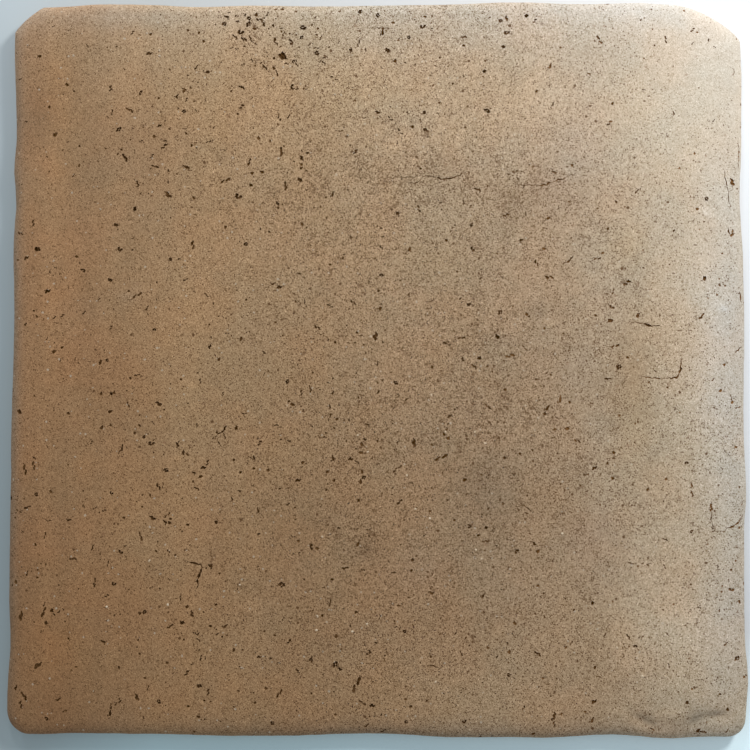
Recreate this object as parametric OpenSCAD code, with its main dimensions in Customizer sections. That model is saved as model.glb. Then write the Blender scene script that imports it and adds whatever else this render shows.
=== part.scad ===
// A square rustic floor tile, pressed and fired as one piece of clay.
// Its four sides wave as if cut by hand, each corner is knocked off in its own way, the face rolls
// over into the sides, and the back carries shallow keying pockets for the adhesive bed.
// It lies face up: the ribs of the back are at Z 0, and the origin is below the middle of its box.

/* [Tile] */
// Length of each side, before the waves
side = 331; // [290:1:450]
// Thickness at the crown of the face
thick = 10; // [8:0.5:14]

/* [Edges] */
// Width of the band in which the face rolls over into the side
roll_w = 6; // [3:0.5:10]
// Height of that roll
roll_h = 4; // [2.5:0.25:5]
// How far the face still rises from the top of the roll to the crown
shoulder_h = 0.7; // [0:0.1:1.2]
// How far the sides lean in from the belly to the back
draft = 0.9; // [0.2:0.1:1.5]
// Bevel around the back
back_bevel = 0.8; // [0.3:0.1:1.2]
// Strength of the waves in the sides: 0 is straight, 1 is as described
wave_gain = 1; // [0:0.1:1.5]

/* [Face] */
// Height of the soft swells in the face, to each side of its mean
swell_h = 0.22; // [0:0.02:0.4]

/* [Back] */
// Keying pockets in each row, an even number so that two ribs cross in the middle
pocket_count = 10; // [6:2:14]
// Width of the ribs between the pockets
rib_w = 4; // [3:0.5:6]
// Plain border around the pockets
border_w = 14; // [10:1:25]
// Depth of the pockets
pocket_depth = 1; // [0.4:0.1:1.5]

/* [Hidden] */

half = side / 2;
clay = [0.66, 0.50, 0.37];

// Hills and hollows of each side, from its own left end to its right end as seen from outside the
// tile: where, in hundredths of half a side from the middle, and how far out of the straight, in mm.
front_wave = [[-89, 0.8], [-82, 0.2], [-60, 0.4], [-39, 1.0], [-28, 0.9], [0, -0.5], [23, 1.0],
              [36, 0.8], [44, 0.9], [65, -0.7], [79, 0.9], [90, 0]];
right_wave = [[-95, 0.3], [-85, 1.5], [-71, 0.1], [-44, 0.2], [-35, 1.3], [-15, 0.3], [12, 1.0],
              [27, 0.7], [47, -0.7], [60, 0.2], [79, 0.5], [89, 0]];
rear_wave = [[-82, -0.4], [-72, 0.5], [-57, 0], [-39, 0.9], [-15, -0.2], [15, -0.8], [33, -0.3],
             [50, -0.9], [64, 0.2], [75, 0.4], [91, -1.0]];
left_wave = [[-88, 0.5], [-63, -0.8], [-53, 0.2], [-45, -1.0], [-33, 0], [-12, -0.7], [23, 0.1],
             [29, -0.2], [36, 0], [62, 0], [76, -0.8], [89, 0.3]];
waves = [front_wave, right_wave, rear_wave, left_wave];

// Corner after each side: the length taken off that side, the length taken off the next one, and
// how full the curve between them is. 1 is a straight cut and 2 is part of an ellipse.
corners = [[8, 8, 1.9], [18, 30, 1.4], [13, 13, 1.2], [10, 10, 1.9]];

side_steps = 38;
corner_steps = 9;
roll_steps = 6;

// Where the ring between the back and the belly sits: its share of their height and of the lean.
side_ring_h = 0.55;
side_ring_lean = 0.35;

// Distance over which the face levels off behind the roll.
level_off = 9;

// Distances in from the edge, in parts of half a side, of the rings that carry the face's swells.
face_rings = [0.07, 0.13, 0.22, 0.34, 0.48, 0.64, 0.82];

// Share of the swells at the top of the roll, and how much more of them there is half a side further in.
roll_swell = 0.3;
swell_gain = 5;

// Waves that make up the swells: the share of each, its degrees per mm along X and along Y, and where
// it starts.
swell_waves = [[0.225, 1.9, 1.3, 15], [0.225, 1.9, -1.3, 55], [0.35, -1.1, 2.7, 80],
               [0.2, 4.3, 3.1, 90]];

// How far the shapes that cut the pockets reach out of the back.
overshoot = 1;

// Eases from 0 to 1 with a level start and end.
function ease(t) = (1 - cos(180 * t)) / 2;

// Value at p of a wave given by its hills and hollows, level beyond both ends.
function wave_at(knots, p, i = 0) =
    p <= knots[0][0] ? knots[0][1]
    : i >= len(knots) - 1 ? knots[len(knots) - 1][1]
    : p > knots[i + 1][0] ? wave_at(knots, p, i + 1)
    : let (t = (p - knots[i][0]) / (knots[i + 1][0] - knots[i][0]))
      knots[i][1] + (knots[i + 1][1] - knots[i][1]) * ease(t);

// Turns a point by quarter turns about the origin.
function quarter(p, turns) = turns == 0 ? p : quarter([-p.y, p.x], turns - 1);

// Points of side k, drawn as the front one and then turned into place.
function side_points(k) =
    let (start = -half + corners[(k + 3) % 4][1], end = half - corners[k][0])
    [for (i = [0 : side_steps - 1])
        let (x = start + (end - start) * i / side_steps)
        quarter([x, -half - wave_gain * wave_at(waves[k], 100 * x / half)], k)];

// Points of the corner after side k, a quarter of a superellipse between the ends of the two waves.
function corner_points(k) =
    let (c = corners[k],
         out_a = wave_gain * wave_at(waves[k], 100),
         out_b = wave_gain * wave_at(waves[(k + 1) % 4], -100))
    [for (i = [0 : corner_steps - 1])
        let (a = 90 * i / corner_steps,
             u = pow(sin(a), 2 / c[2]),
             v = pow(cos(a), 2 / c[2]))
        quarter([half - c[0] + (c[0] + out_b) * u, -half + c[1] - (c[1] + out_a) * v], k)];

raw_outline = [for (k = [0 : 3]) each concat(side_points(k), corner_points(k))];

xs = [for (p = raw_outline) p.x];
ys = [for (p = raw_outline) p.y];
middle = [(min(xs) + max(xs)) / 2, (min(ys) + max(ys)) / 2];
outline = [for (p = raw_outline) p - middle];
count = len(outline);

// Height of the face's swells at a point, in parts of swell_h.
function swell(p, i = 0) =
    i == len(swell_waves) ? 0
    : let (w = swell_waves[i]) w[0] * sin(w[1] * p.x + w[2] * p.y + w[3]) + swell(p, i + 1);

// Height of the face at a given distance in from its edge, without its swells.
function face_z(inset) = thick - swell_h - shoulder_h * exp((roll_w - inset) / level_off);

// The outline drawn in by a distance, at a height, with a share of the swells added.
function ring(inset, z, swelling = 0) =
    [for (p = outline)
        let (q = p * (1 - inset / half))
        [q.x, q.y, z + swelling * swell_h * swell(q)]];

belly_z = thick - swell_h - roll_h - shoulder_h;
roll_top = face_z(roll_w);

rings = concat(
    [ring(draft + back_bevel, 0),
     ring(draft, back_bevel),
     ring(draft * side_ring_lean, belly_z * side_ring_h)],
    [for (i = [0 : roll_steps])
        let (a = 90 * i / roll_steps)
        ring(roll_w * (1 - cos(a)), belly_z + (roll_top - belly_z) * sin(a),
             roll_swell * i / roll_steps)],
    [for (r = face_rings)
        ring(r * half, face_z(r * half), min(1, roll_swell + swell_gain * r))]);

ring_count = len(rings);
back_centre = ring_count * count;
face_centre = back_centre + 1;

tile_points = concat(
    [for (r = rings) each r],
    [[0, 0, 0], [0, 0, face_z(half) + swell_h * swell([0, 0])]]);

tile_faces = concat(
    [for (i = [0 : count - 1]) [back_centre, i, (i + 1) % count]],
    [for (r = [0 : ring_count - 2], i = [0 : count - 1], upper = [0, 1])
        let (a = r * count + i, b = r * count + (i + 1) % count)
        upper == 0 ? [a, a + count, b] : [b, a + count, b + count]],
    [for (i = [0 : count - 1])
        let (last = (ring_count - 1) * count)
        [face_centre, last + (i + 1) % count, last + i]]);

field = side - 2 * border_w;
pitch = (field + rib_w) / pocket_count;

// The square pockets of the back, all of one size, between crossing ribs.
module keying_pockets() {
    for (column = [0 : pocket_count - 1], row = [0 : pocket_count - 1])
        translate([-field / 2 + column * pitch, -field / 2 + row * pitch, -overshoot])
            cube([pitch - rib_w, pitch - rib_w, pocket_depth + overshoot]);
}

module tile() {
    color(clay)
        difference() {
            polyhedron(tile_points, tile_faces, convexity = 4);
            keying_pockets();
        }
}

tile();
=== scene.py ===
import logging
import math
import random
from collections.abc import Callable, Iterable, Iterator
from dataclasses import dataclass
from enum import Enum

import bmesh
import bpy
from mathutils import Matrix, Vector, geometry
from mathutils.bvhtree import BVHTree
from mathutils.kdtree import KDTree


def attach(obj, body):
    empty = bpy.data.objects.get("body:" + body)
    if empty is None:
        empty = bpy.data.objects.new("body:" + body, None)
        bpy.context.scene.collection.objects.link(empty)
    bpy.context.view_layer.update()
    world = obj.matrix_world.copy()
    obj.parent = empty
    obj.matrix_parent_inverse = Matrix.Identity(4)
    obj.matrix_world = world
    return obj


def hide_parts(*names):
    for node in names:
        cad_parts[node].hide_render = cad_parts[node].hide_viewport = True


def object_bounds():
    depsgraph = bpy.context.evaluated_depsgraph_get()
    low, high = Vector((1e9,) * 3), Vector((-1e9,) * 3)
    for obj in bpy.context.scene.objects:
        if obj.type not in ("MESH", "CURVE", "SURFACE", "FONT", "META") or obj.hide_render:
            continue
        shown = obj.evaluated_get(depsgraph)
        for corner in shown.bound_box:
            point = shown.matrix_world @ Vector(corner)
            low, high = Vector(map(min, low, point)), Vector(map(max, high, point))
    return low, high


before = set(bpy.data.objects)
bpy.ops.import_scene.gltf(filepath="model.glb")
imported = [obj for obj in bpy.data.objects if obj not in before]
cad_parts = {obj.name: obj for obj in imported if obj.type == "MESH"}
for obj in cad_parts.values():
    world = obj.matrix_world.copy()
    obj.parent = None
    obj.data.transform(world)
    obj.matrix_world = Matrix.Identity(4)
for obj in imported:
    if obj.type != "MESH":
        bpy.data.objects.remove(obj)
cad_low, cad_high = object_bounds()

MM = 0.001
Colour = tuple[float, float, float]
Row = tuple[float, ...]
Node = bpy.types.Node
NodeTree = bpy.types.NodeTree
Socket = bpy.types.NodeSocket
Material = bpy.types.Material
Object = bpy.types.Object
EVEN = (1.0, 1.0, 1.0)
UP = (0.0, 0.0, 1.0)
DOWN = (0.0, 0.0, -1.0)
# Nearly all values of a noise lie between these, and most of them between the next two.
NOISE_LOW = 0.25
NOISE_HIGH = 0.75
MOST_LOW = 0.3
MOST_HIGH = 0.7
# How far in metres one step of a seed moves a pattern of cells.
SEED_SHIFT = 0.1
# Face attribute that is 1 on every face that already has its finish.
SKIN = "skin"
# Point attributes of the finished tile: how much lighter and warmer its clay is, which holds painted light
# and shade on its pressed slopes and rims as well as its own tones, and how dirty.
LIGHTNESS_WITH_PAINTED_SHADE = "light"
WARM = "warm"
DIRT = "dirt"
# An edge of the finished mesh is shaded sharp from this angle on.
CREASE = math.radians(38)
# Half a pebble's width, for a rim 1 across, and its half height, for the root of that width in metres.
PEBBLE_REACH = 0.63
PEBBLE_DEPTH = 0.019
# Width from which a pit is broken up into several lobes.
BROAD = 1.42 * MM
# How many different pebbles there are of each kind.
PEBBLE_KINDS = 6
# The balls that grow into ragged pebbles: how much higher than wide, and where their middles are.
BALL_HIGH = 1.9
BALL_Z = -0.35
# How far the finished tile stays below the crown of the face.
HEADROOM = 0.01 * MM

logging.basicConfig(level=logging.INFO, format="%(name)s: %(message)s")
log = logging.getLogger("floor tile")


def opaque(colour: Colour) -> tuple[float, float, float, float]:
    """Returns the colour with full cover."""
    return (*colour, 1.0)


# ------ Node trees ------


class Kind(Enum):
    """What a node group's socket carries."""

    NUMBER = "NodeSocketFloat"
    COUNT = "NodeSocketInt"
    VECTOR = "NodeSocketVector"
    SHAPE = "NodeSocketGeometry"
    OBJECT = "NodeSocketObject"
    MATERIAL = "NodeSocketMaterial"


class Wiring:
    """A node tree as it is being wired up."""

    def __init__(self, tree: NodeTree) -> None:
        """Takes the tree to wire.

        Args:
            tree: An empty tree of any type.
        """
        self.tree = tree

    def add(self, kind: str, inputs: dict | None = None, **options: object) -> Node:
        """Adds one node.

        Args:
            kind: The node's type.
            inputs: For each input, by name or number, the socket that feeds it or its value.
            **options: The node's own settings.

        Returns:
            The new node.
        """
        node = self.tree.nodes.new(kind)
        node.location.x = 180.0 * len(self.tree.nodes)
        for name, value in options.items():
            setattr(node, name, value)
        for key, value in (inputs or {}).items():
            self.feed(node.inputs[key], value)
        return node

    def feed(self, socket: Socket, value: object) -> None:
        """Links a socket to another one, or sets its value."""
        if isinstance(value, Socket):
            self.tree.links.new(value, socket)
        else:
            socket.default_value = value

    def calc(self, how: str, *values: object) -> Socket:
        """Puts numbers through one Math node and returns its output."""
        return self.add("ShaderNodeMath", dict(enumerate(values)), operation=how).outputs[0]

    def times(self, first: object, second: object) -> Socket:
        """Multiplies two numbers."""
        return self.calc("MULTIPLY", first, second)

    def vector(self, how: str, *values: object) -> Socket:
        """Puts vectors through one Vector Math node and returns the vector that comes out."""
        node = self.add("ShaderNodeVectorMath", operation=how)
        for number, value in enumerate(values):
            socket = node.inputs["Scale"] if how == "SCALE" and number == 1 else node.inputs[number]
            self.feed(socket, value)
        return node.outputs["Vector"]

    def remap(self, value: object, low: float, high: float, to_low: float = 0.0,
              to_high: float = 1.0, smooth: bool = False) -> Socket:
        """Carries a number from one range to another, held at both ends.

        Args:
            value: The number.
            low: Where the first range starts.
            high: Where the first range ends.
            to_low: What low becomes.
            to_high: What high becomes.
            smooth: Whether it eases in and out.

        Returns:
            The new number.
        """
        node = self.add("ShaderNodeMapRange", interpolation_type="SMOOTHSTEP" if smooth else "LINEAR")
        for key, item in zip(("Value", "From Min", "From Max", "To Min", "To Max"),
                             (value, low, high, to_low, to_high)):
            self.feed(node.inputs[key], item)
        return node.outputs["Result"]

    def mix(self, share: object, first: object, second: object, how: str = "MIX") -> Socket:
        """Mixes two colours and returns the result."""
        node = self.add("ShaderNodeMix", data_type="RGBA", blend_type=how)
        for number, value in ((0, share), (6, first), (7, second)):
            self.feed(node.inputs[number], value)
        return node.outputs[2]

    def noise(self, place: object, pitch: object, detail: float = 2.0, rough: float = 0.5,
              seed: float = 0.0, skew: float = 0.0) -> Node:
        """Adds a noise whose hills are about pitch metres apart.

        Args:
            place: The position socket.
            pitch: Distance between hills.
            detail: How many finer layers it has.
            rough: How strong the finer layers are.
            seed: Which of the endless like patterns it is.
            skew: How far it is warped.

        Returns:
            The noise node.
        """
        scale = self.calc("DIVIDE", 1.0, pitch) if isinstance(pitch, Socket) else 1.0 / pitch
        inputs = {"Vector": place, "W": seed, "Scale": scale, "Detail": detail,
                  "Roughness": rough, "Distortion": skew}
        return self.add("ShaderNodeTexNoise", inputs, noise_dimensions="4D")

    def cells(self, place: object, pitch: object, seed: object) -> Node:
        """Splits space into ragged cells about pitch metres apart, in a pattern that a seed picks."""
        shifted = self.vector("ADD", place, self.upright(self.times(seed, SEED_SHIFT)))
        return self.add("ShaderNodeTexVoronoi", {
            "Vector": shifted, "Scale": self.calc("DIVIDE", 1.0, pitch)})

    def ramp(self, share: object, stops: tuple[tuple[float, Colour], ...]) -> Socket:
        """Runs a share through a row of colours and returns the colour that comes out.

        Args:
            share: The share, from 0 to 1.
            stops: Each colour with the share at which it stands.

        Returns:
            The colour.
        """
        node = self.add("ShaderNodeValToRGB", {"Fac": share})
        elements = node.color_ramp.elements
        while len(elements) < len(stops):
            elements.new(1.0)
        for element, (place, colour) in zip(elements, stops):
            element.position = place
            element.color = opaque(colour)
        return node.outputs["Color"]

    def upright(self, z: object) -> Socket:
        """Returns a vector that points straight up, z long."""
        return self.add("ShaderNodeCombineXYZ", {"Z": z}).outputs[0]

    def split(self, vector: object) -> tuple[Socket, ...]:
        """Returns the x, y and z of a vector."""
        return tuple(self.add("ShaderNodeSeparateXYZ", {0: vector}).outputs)

    def shares(self, colour: object) -> tuple[Socket, ...]:
        """Returns the red, green and blue of a colour."""
        return tuple(self.add("ShaderNodeSeparateColor", {0: colour}).outputs)

    def sway(self, noise: Node) -> Socket:
        """Returns a vector that a noise swings about 0, up to about half each way."""
        return self.vector("SUBTRACT", noise.outputs["Color"], (0.5, 0.5, 0.5))


def new_group(name: str, kind: str, inputs: dict[str, Kind],
              outputs: dict[str, Kind]) -> tuple[Wiring, dict, Node]:
    """Starts a node group.

    Args:
        name: The group's name.
        kind: ShaderNodeTree or GeometryNodeTree.
        inputs: Each input's kind.
        outputs: Each output's kind.

    Returns:
        The wiring, its input sockets by name, and its output node.
    """
    tree = bpy.data.node_groups.new(name, kind)
    for in_out, sockets in (("INPUT", inputs), ("OUTPUT", outputs)):
        for label, socket_kind in sockets.items():
            tree.interface.new_socket(name=label, in_out=in_out, socket_type=socket_kind.value)
    wiring = Wiring(tree)
    entry = wiring.add("NodeGroupInput")
    exit_node = wiring.add("NodeGroupOutput")
    return wiring, {label: entry.outputs[label] for label in inputs}, exit_node


def put_in_scene(name: str, data: bpy.types.ID) -> Object:
    """Makes an object of a mesh, lamp or camera and links it to the scene."""
    item = bpy.data.objects.new(name, data)
    bpy.context.scene.collection.objects.link(item)
    return item


class Shaping(Wiring):
    """A geometry tree with named inputs, which is wired up once and then run on a piece."""

    KINDS = {float: Kind.NUMBER, int: Kind.COUNT, Object: Kind.OBJECT, Material: Kind.MATERIAL}

    def __init__(self, name: str, values: dict[str, object]) -> None:
        """Starts the tree.

        Args:
            name: The tree's name.
            values: The value of each input other than the piece's own shape.
        """
        shape = {"Geometry": Kind.SHAPE}
        inputs = {label: self.KINDS[type(value)] for label, value in values.items()}
        wiring, self.given, self.leave = new_group(name, "GeometryNodeTree", shape | inputs, shape)
        super().__init__(wiring.tree)
        self.values = values
        self.tile = self.given["Geometry"]

    def place(self) -> Socket:
        """Returns where each point of the geometry is."""
        return self.add("GeometryNodeInputPosition").outputs[0]

    def normal(self) -> Socket:
        """Returns which way each point of the geometry faces."""
        return self.add("GeometryNodeInputNormal").outputs[0]

    def attribute(self, name: str) -> Socket:
        """Returns a number that the mesh's points or faces carry under a name."""
        node = self.add("GeometryNodeInputNamedAttribute", {"Name": name}, data_type="FLOAT")
        return node.outputs["Attribute"]

    def draw(self, low: float, high: float, seed: int) -> Socket:
        """Returns a number drawn anew for each point, between two limits."""
        inputs = {2: low, 3: high, "Seed": seed}
        return self.add("FunctionNodeRandomValue", inputs, data_type="FLOAT").outputs[1]

    def pick(self, count: int, seed: int) -> Socket:
        """Returns a whole number drawn anew for each point, from 0 to one less than the count."""
        inputs = {4: 0, 5: count - 1, "Seed": seed}
        return self.add("FunctionNodeRandomValue", inputs, data_type="INT").outputs[2]

    def gather(self, shapes: Iterable[Socket], socket: Socket) -> None:
        """Links any number of shapes to one socket. The last of them comes first in it."""
        for shape in shapes:
            self.tree.links.new(shape, socket)

    def join(self, shapes: Iterable[Socket]) -> Socket:
        """Joins shapes. The last of them comes first."""
        joined = self.add("GeometryNodeJoinGeometry")
        self.gather(shapes, joined.inputs[0])
        return joined.outputs[0]

    def unite(self, shapes: Iterable[Socket]) -> Socket:
        """Makes one solid of shapes that overlap."""
        whole = self.add("GeometryNodeMeshBoolean", operation="UNION", solver="MANIFOLD")
        self.gather(shapes, whole.inputs["Mesh 2"])
        return whole.outputs["Mesh"]

    def cut(self, solid: Socket, cutters: Socket) -> Socket:
        """Cuts shapes out of a solid."""
        rest = self.add("GeometryNodeMeshBoolean", {"Mesh 1": solid}, operation="DIFFERENCE",
                        solver="MANIFOLD")
        self.gather([cutters], rest.inputs["Mesh 2"])
        return rest.outputs["Mesh"]

    def shape_of(self, label: str) -> Socket:
        """Returns the shape of the object that an input names."""
        return self.add("GeometryNodeObjectInfo", {"Object": self.given[label]}).outputs["Geometry"]

    def on_face(self) -> Node:
        """Drops each point straight onto the tile, and returns where it lands and whether it does."""
        return self.add("GeometryNodeRaycast", {
            "Target Geometry": self.tile, "Source Position": self.vector("ADD", self.place(), UP),
            "Ray Direction": DOWN})

    def end(self, shape: Socket, finish: str | None = None) -> None:
        """Ends the tree.

        Args:
            shape: The shape to put out.
            finish: The input with the finish of the faces that a cut or a join made, if one did.
        """
        whole = self.add("GeometryNodeRealizeInstances", {0: shape}).outputs[0]
        if finish:
            new = self.add("FunctionNodeCompare", {0: self.attribute(SKIN), 1: 0.5},
                           data_type="FLOAT", operation="LESS_THAN").outputs[0]
            dressed = self.add("GeometryNodeSetMaterial", {
                "Geometry": whole, "Selection": new, "Material": self.given[finish]}).outputs[0]
            whole = self.add("GeometryNodeStoreNamedAttribute", {
                "Geometry": dressed, "Name": SKIN, "Value": 1.0},
                data_type="FLOAT", domain="FACE").outputs[0]
        self.feed(self.leave.inputs[0], whole)

    def run(self, piece: Object) -> None:
        """Runs the tree on a piece and leaves the result as its plain mesh.

        Args:
            piece: The piece.
        """
        modifier = piece.modifiers.new(self.tree.name, "NODES")
        modifier.node_group = self.tree
        for item in self.tree.interface.items_tree:
            if item.item_type == "SOCKET" and item.in_out == "INPUT" and item.name in self.values:
                modifier[item.identifier] = self.values[item.name]
        bpy.context.view_layer.update()
        evaluated = piece.evaluated_get(bpy.context.evaluated_depsgraph_get())
        result = bpy.data.meshes.new_from_object(evaluated)
        piece.modifiers.remove(modifier)
        before = piece.data
        piece.data = result
        bpy.data.meshes.remove(before)
        log.info("%s gave %d faces", self.tree.name, len(result.polygons))


# ------ Body ------


class PackedTile:
    """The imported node's surface, read from a merged copy of its mesh."""

    MERGE = 0.001 * MM
    LEVEL = 0.01
    STAND_OFF = 5 * MM

    def __init__(self, node: Object) -> None:
        """Copies and merges the node's mesh.

        Args:
            node: The CAD node, which is left as it is.
        """
        self.shape = bmesh.new()
        self.shape.from_mesh(node.data)
        bmesh.ops.remove_doubles(self.shape, verts=self.shape.verts, dist=self.MERGE)
        self.tree = BVHTree.FromBMesh(self.shape)

    def girth(self) -> list[Vector]:
        """Returns the ring of widest girth, where faces that look up meet faces that look down."""
        beside: dict[bmesh.types.BMVert, list[bmesh.types.BMVert]] = {}
        for edge in self.shape.edges:
            slopes = sorted(face.normal.z for face in edge.link_faces)
            if slopes[0] < -self.LEVEL and slopes[-1] > self.LEVEL:
                for vertex in edge.verts:
                    beside.setdefault(vertex, []).append(edge.other_vert(vertex))
        start = max(beside, key=lambda vertex: vertex.co.x)
        last, here = start, max(beside[start], key=lambda vertex: vertex.co.y)
        ring = [start.co.copy()]
        while here != start:
            ring.append(here.co.copy())
            last, here = here, next(other for other in beside[here] if other != last)
        return ring

    def height(self, x: float, y: float, spread: float = 0.0) -> float:
        """Gives the face's height at a point, evened out over a small cross.

        Args:
            x: Across the tile.
            y: Up the tile.
            spread: Half the width of the cross, or 0 for the point alone.

        Returns:
            The height over the floor.
        """
        taps = [(0.0, 0.0)]
        if spread:
            taps += [(spread, 0.0), (-spread, 0.0), (0.0, spread), (0.0, -spread)]
        hits = [self.below(x + dx, y + dy) for dx, dy in taps]
        found = [hit.z for hit in hits if hit]
        return sum(found) / len(found)

    def below(self, x: float, y: float) -> Vector | None:
        """Gives the face's point at a place, or None beside the tile."""
        return self.tree.ray_cast(Vector((x, y, 0.0)) + Vector(UP), Vector(DOWN))[0]

    def side(self, place: Vector, outward: Vector, z: float) -> Vector:
        """Gives the side's point at a height, straight in from a point of the girth."""
        start = Vector((place.x, place.y, z)) + outward * self.STAND_OFF
        return self.tree.ray_cast(start, -outward)[0]

    def as_object(self, name: str) -> Object:
        """Returns the merged copy as an object, for cutting with."""
        mesh = bpy.data.meshes.new(name)
        self.shape.to_mesh(mesh)
        return put_in_scene(name, mesh)


def smooth_ring(ring: list[Vector], step: float) -> list[Vector]:
    """Redraws a closed ring as an even, smooth one through the same points.

    Args:
        ring: The points.
        step: Distance between the new ones.

    Returns:
        The new points.
    """
    points: list[Vector] = []
    count = len(ring)
    for i in range(count):
        before, here, there, after = (ring[(i + k) % count] for k in (-1, 0, 1, 2))
        pieces = max(1, round((there - here).length / step))
        for k in range(pieces):
            t = k / pieces
            points.append(0.5 * (2 * here + (there - before) * t
                                 + (2 * before - 5 * here + 4 * there - after) * t * t
                                 + (3 * here - before - 3 * there + after) * t * t * t))
    return points


def outward_of(ring: list[Vector]) -> list[Vector]:
    """Returns the level direction straight out of a counterclockwise ring at each point."""
    out = []
    for i in range(len(ring)):
        along = ring[(i + 1) % len(ring)] - ring[i - 1]
        out.append(Vector((along.y, -along.x, 0.0)).normalized())
    return out


@dataclass(frozen=True)
class Spot:
    """A soft oval on the face: its middle, half its length and width in mm, its strength and turn."""

    x: float
    y: float
    long: float
    wide: float
    strength: float
    turn: float = 0.0
    warmth: float = 0.0

    def share(self, place: Vector) -> float:
        """Returns how far a point is inside it, from 0 to 1 in the middle."""
        turn = math.radians(self.turn)
        dx, dy = place.x / MM - self.x, place.y / MM - self.y
        along = (dx * math.cos(turn) + dy * math.sin(turn)) / self.long
        across = (dy * math.cos(turn) - dx * math.sin(turn)) / self.wide
        return math.exp(-1.5 * (along * along + across * across))


def spots(*rows: Row) -> tuple[Spot, ...]:
    """Reads spots from rows: x, y, half length, half width and strength, then any turn and warmth."""
    return tuple(Spot(*row) for row in rows)


@dataclass
class Body:
    """The tile's closed body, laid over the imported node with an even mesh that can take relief."""

    packed: PackedTile
    # Small marks, which get more points where their share is over an edge.
    marks: tuple[Spot, ...] = ()
    marked_pitch: float = 1.3 * MM
    mark_edge: float = 0.25
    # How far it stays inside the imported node's sides.
    skin: float = 0.2 * MM
    # Rings of points along the rim, in mm in from it. A ring drops what comes nearer to another
    # stretch of the rim than this share of its own distance.
    ring_step: float = 2.2 * MM
    insets: Row = (0.12, 0.45, 1.0, 1.8, 2.8, 4.0, 5.5, 7.3)
    nearest: float = 0.93
    # The uneven lattice inside them, which starts this share of its pitch further in.
    lattice: float = 2.85 * MM
    lattice_gap: float = 0.7
    jitter: float = 0.3 * MM
    evening: float = 3.5 * MM
    weld: float = 1e-7
    side_levels: int = 5
    lowest: float = 0.02 * MM
    seed: int = 11

    def build(self, name: str, clay: Material) -> Object:
        """Builds the body.

        Args:
            name: The piece's name.
            clay: The finish of its face and sides.

        Returns:
            The object, closed and with its faces outwards.
        """
        girth = smooth_ring(self.packed.girth(), self.ring_step)
        outward = outward_of(girth)
        outline = [p - n * self.skin for p, n in zip(girth, outward)]
        shape = bmesh.new()
        rim = [shape.verts.new(p) for p in outline]
        self._face(shape, rim, outline, outward)
        self._sides(shape, rim, outline, outward)
        bmesh.ops.recalc_face_normals(shape, faces=shape.faces)
        mesh = bpy.data.meshes.new(name)
        shape.to_mesh(mesh)
        shape.free()
        mesh.materials.append(clay)
        skin = mesh.attributes.new(SKIN, "FLOAT", "FACE")
        skin.data.foreach_set("value", [1.0] * len(mesh.polygons))
        return put_in_scene(name, mesh)

    def _face(self, shape: bmesh.types.BMesh, rim: list, outline: list[Vector],
              outward: list[Vector]) -> None:
        """Triangulates the face and its rolled edge, as rings near the rim and a lattice inside.

        Args:
            shape: What the faces are added to.
            rim: Its points along the rim.
            outline: Where they are.
            outward: The way straight out at each.
        """
        tree = KDTree(len(outline))
        for i, p in enumerate(outline):
            tree.insert((p.x, p.y, 0.0), i)
        tree.balance()
        places = [Vector((p.x, p.y)) for p in outline]
        heights = [p.z for p in outline]
        for inset in self.insets:
            for p, n in zip(outline, outward):
                q = p - n * inset * MM
                if tree.find((q.x, q.y, 0.0))[2] > self.nearest * inset * MM:
                    places.append(Vector((q.x, q.y)))
                    heights.append(self.packed.height(q.x, q.y))
        clear = self.insets[-1] * MM + self.lattice_gap * self.lattice
        for candidates, least in ((self._lattice(), clear), (self._marked(), self.marked_pitch)):
            for x, y in candidates:
                far = tree.find((x, y, 0.0))[2]
                if self.packed.below(x, y) and far > least:
                    places.append(Vector((x, y)))
                    heights.append(self.packed.height(x, y, self.evening if far > clear else 0.0))
        count = len(outline)
        border = [(i, (i + 1) % count) for i in range(count)]
        points, _, faces, origins, _, _ = geometry.delaunay_2d_cdt(places, border, [], 1, self.weld)
        verts = []
        for point, origin in zip(points, origins):
            first = origin[0]
            if first < count:
                verts.append(rim[first])
            else:
                verts.append(shape.verts.new((point.x, point.y, heights[first])))
        for face in faces:
            shape.faces.new([verts[i] for i in face])

    def _lattice(self) -> Iterator[tuple[float, float]]:
        """Yields the places of an uneven lattice over the whole face."""
        draw = random.Random(self.seed)
        rows = int((cad_high.y - cad_low.y) / (self.lattice * math.sqrt(3) / 2)) + 1
        columns = int((cad_high.x - cad_low.x) / self.lattice) + 1
        for row in range(rows):
            for column in range(columns):
                x = cad_low.x + (column + 0.5 * (row % 2)) * self.lattice
                y = cad_low.y + row * self.lattice * math.sqrt(3) / 2
                yield x + draw.uniform(-1, 1) * self.jitter, y + draw.uniform(-1, 1) * self.jitter

    def _marked(self) -> Iterator[tuple[float, float]]:
        """Yields more places where the face carries small marks."""
        draw = random.Random(self.seed)
        for mark in self.marks:
            steps = int(max(mark.long, mark.wide) * MM / self.marked_pitch)
            for column in range(-steps, steps + 1):
                for row in range(-steps, steps + 1):
                    x = mark.x * MM + column * self.marked_pitch + draw.uniform(-1, 1) * self.jitter
                    y = mark.y * MM + row * self.marked_pitch + draw.uniform(-1, 1) * self.jitter
                    if mark.share(Vector((x, y))) > self.mark_edge:
                        yield x, y

    def _sides(self, shape: bmesh.types.BMesh, rim: list, outline: list[Vector],
               outward: list[Vector]) -> None:
        """Hangs the sides from the rim and closes them with the back.

        Args:
            shape: What the faces are added to.
            rim: Its points along the rim.
            outline: Where they are.
            outward: The way straight out at each.
        """
        above = rim
        belly = outline[0].z
        for level in range(1, self.side_levels + 1):
            z = belly * (1 - level / self.side_levels)
            ring = []
            for p, n in zip(outline, outward):
                q = self.packed.side(p, n, max(z, self.lowest)) - n * self.skin
                ring.append(shape.verts.new((q.x, q.y, z)))
            for i in range(len(rim)):
                j = (i + 1) % len(rim)
                shape.faces.new((above[i], ring[i], ring[j], above[j]))
            above = ring
        shape.faces.new(above)


# ------ Pressed relief ------


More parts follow.
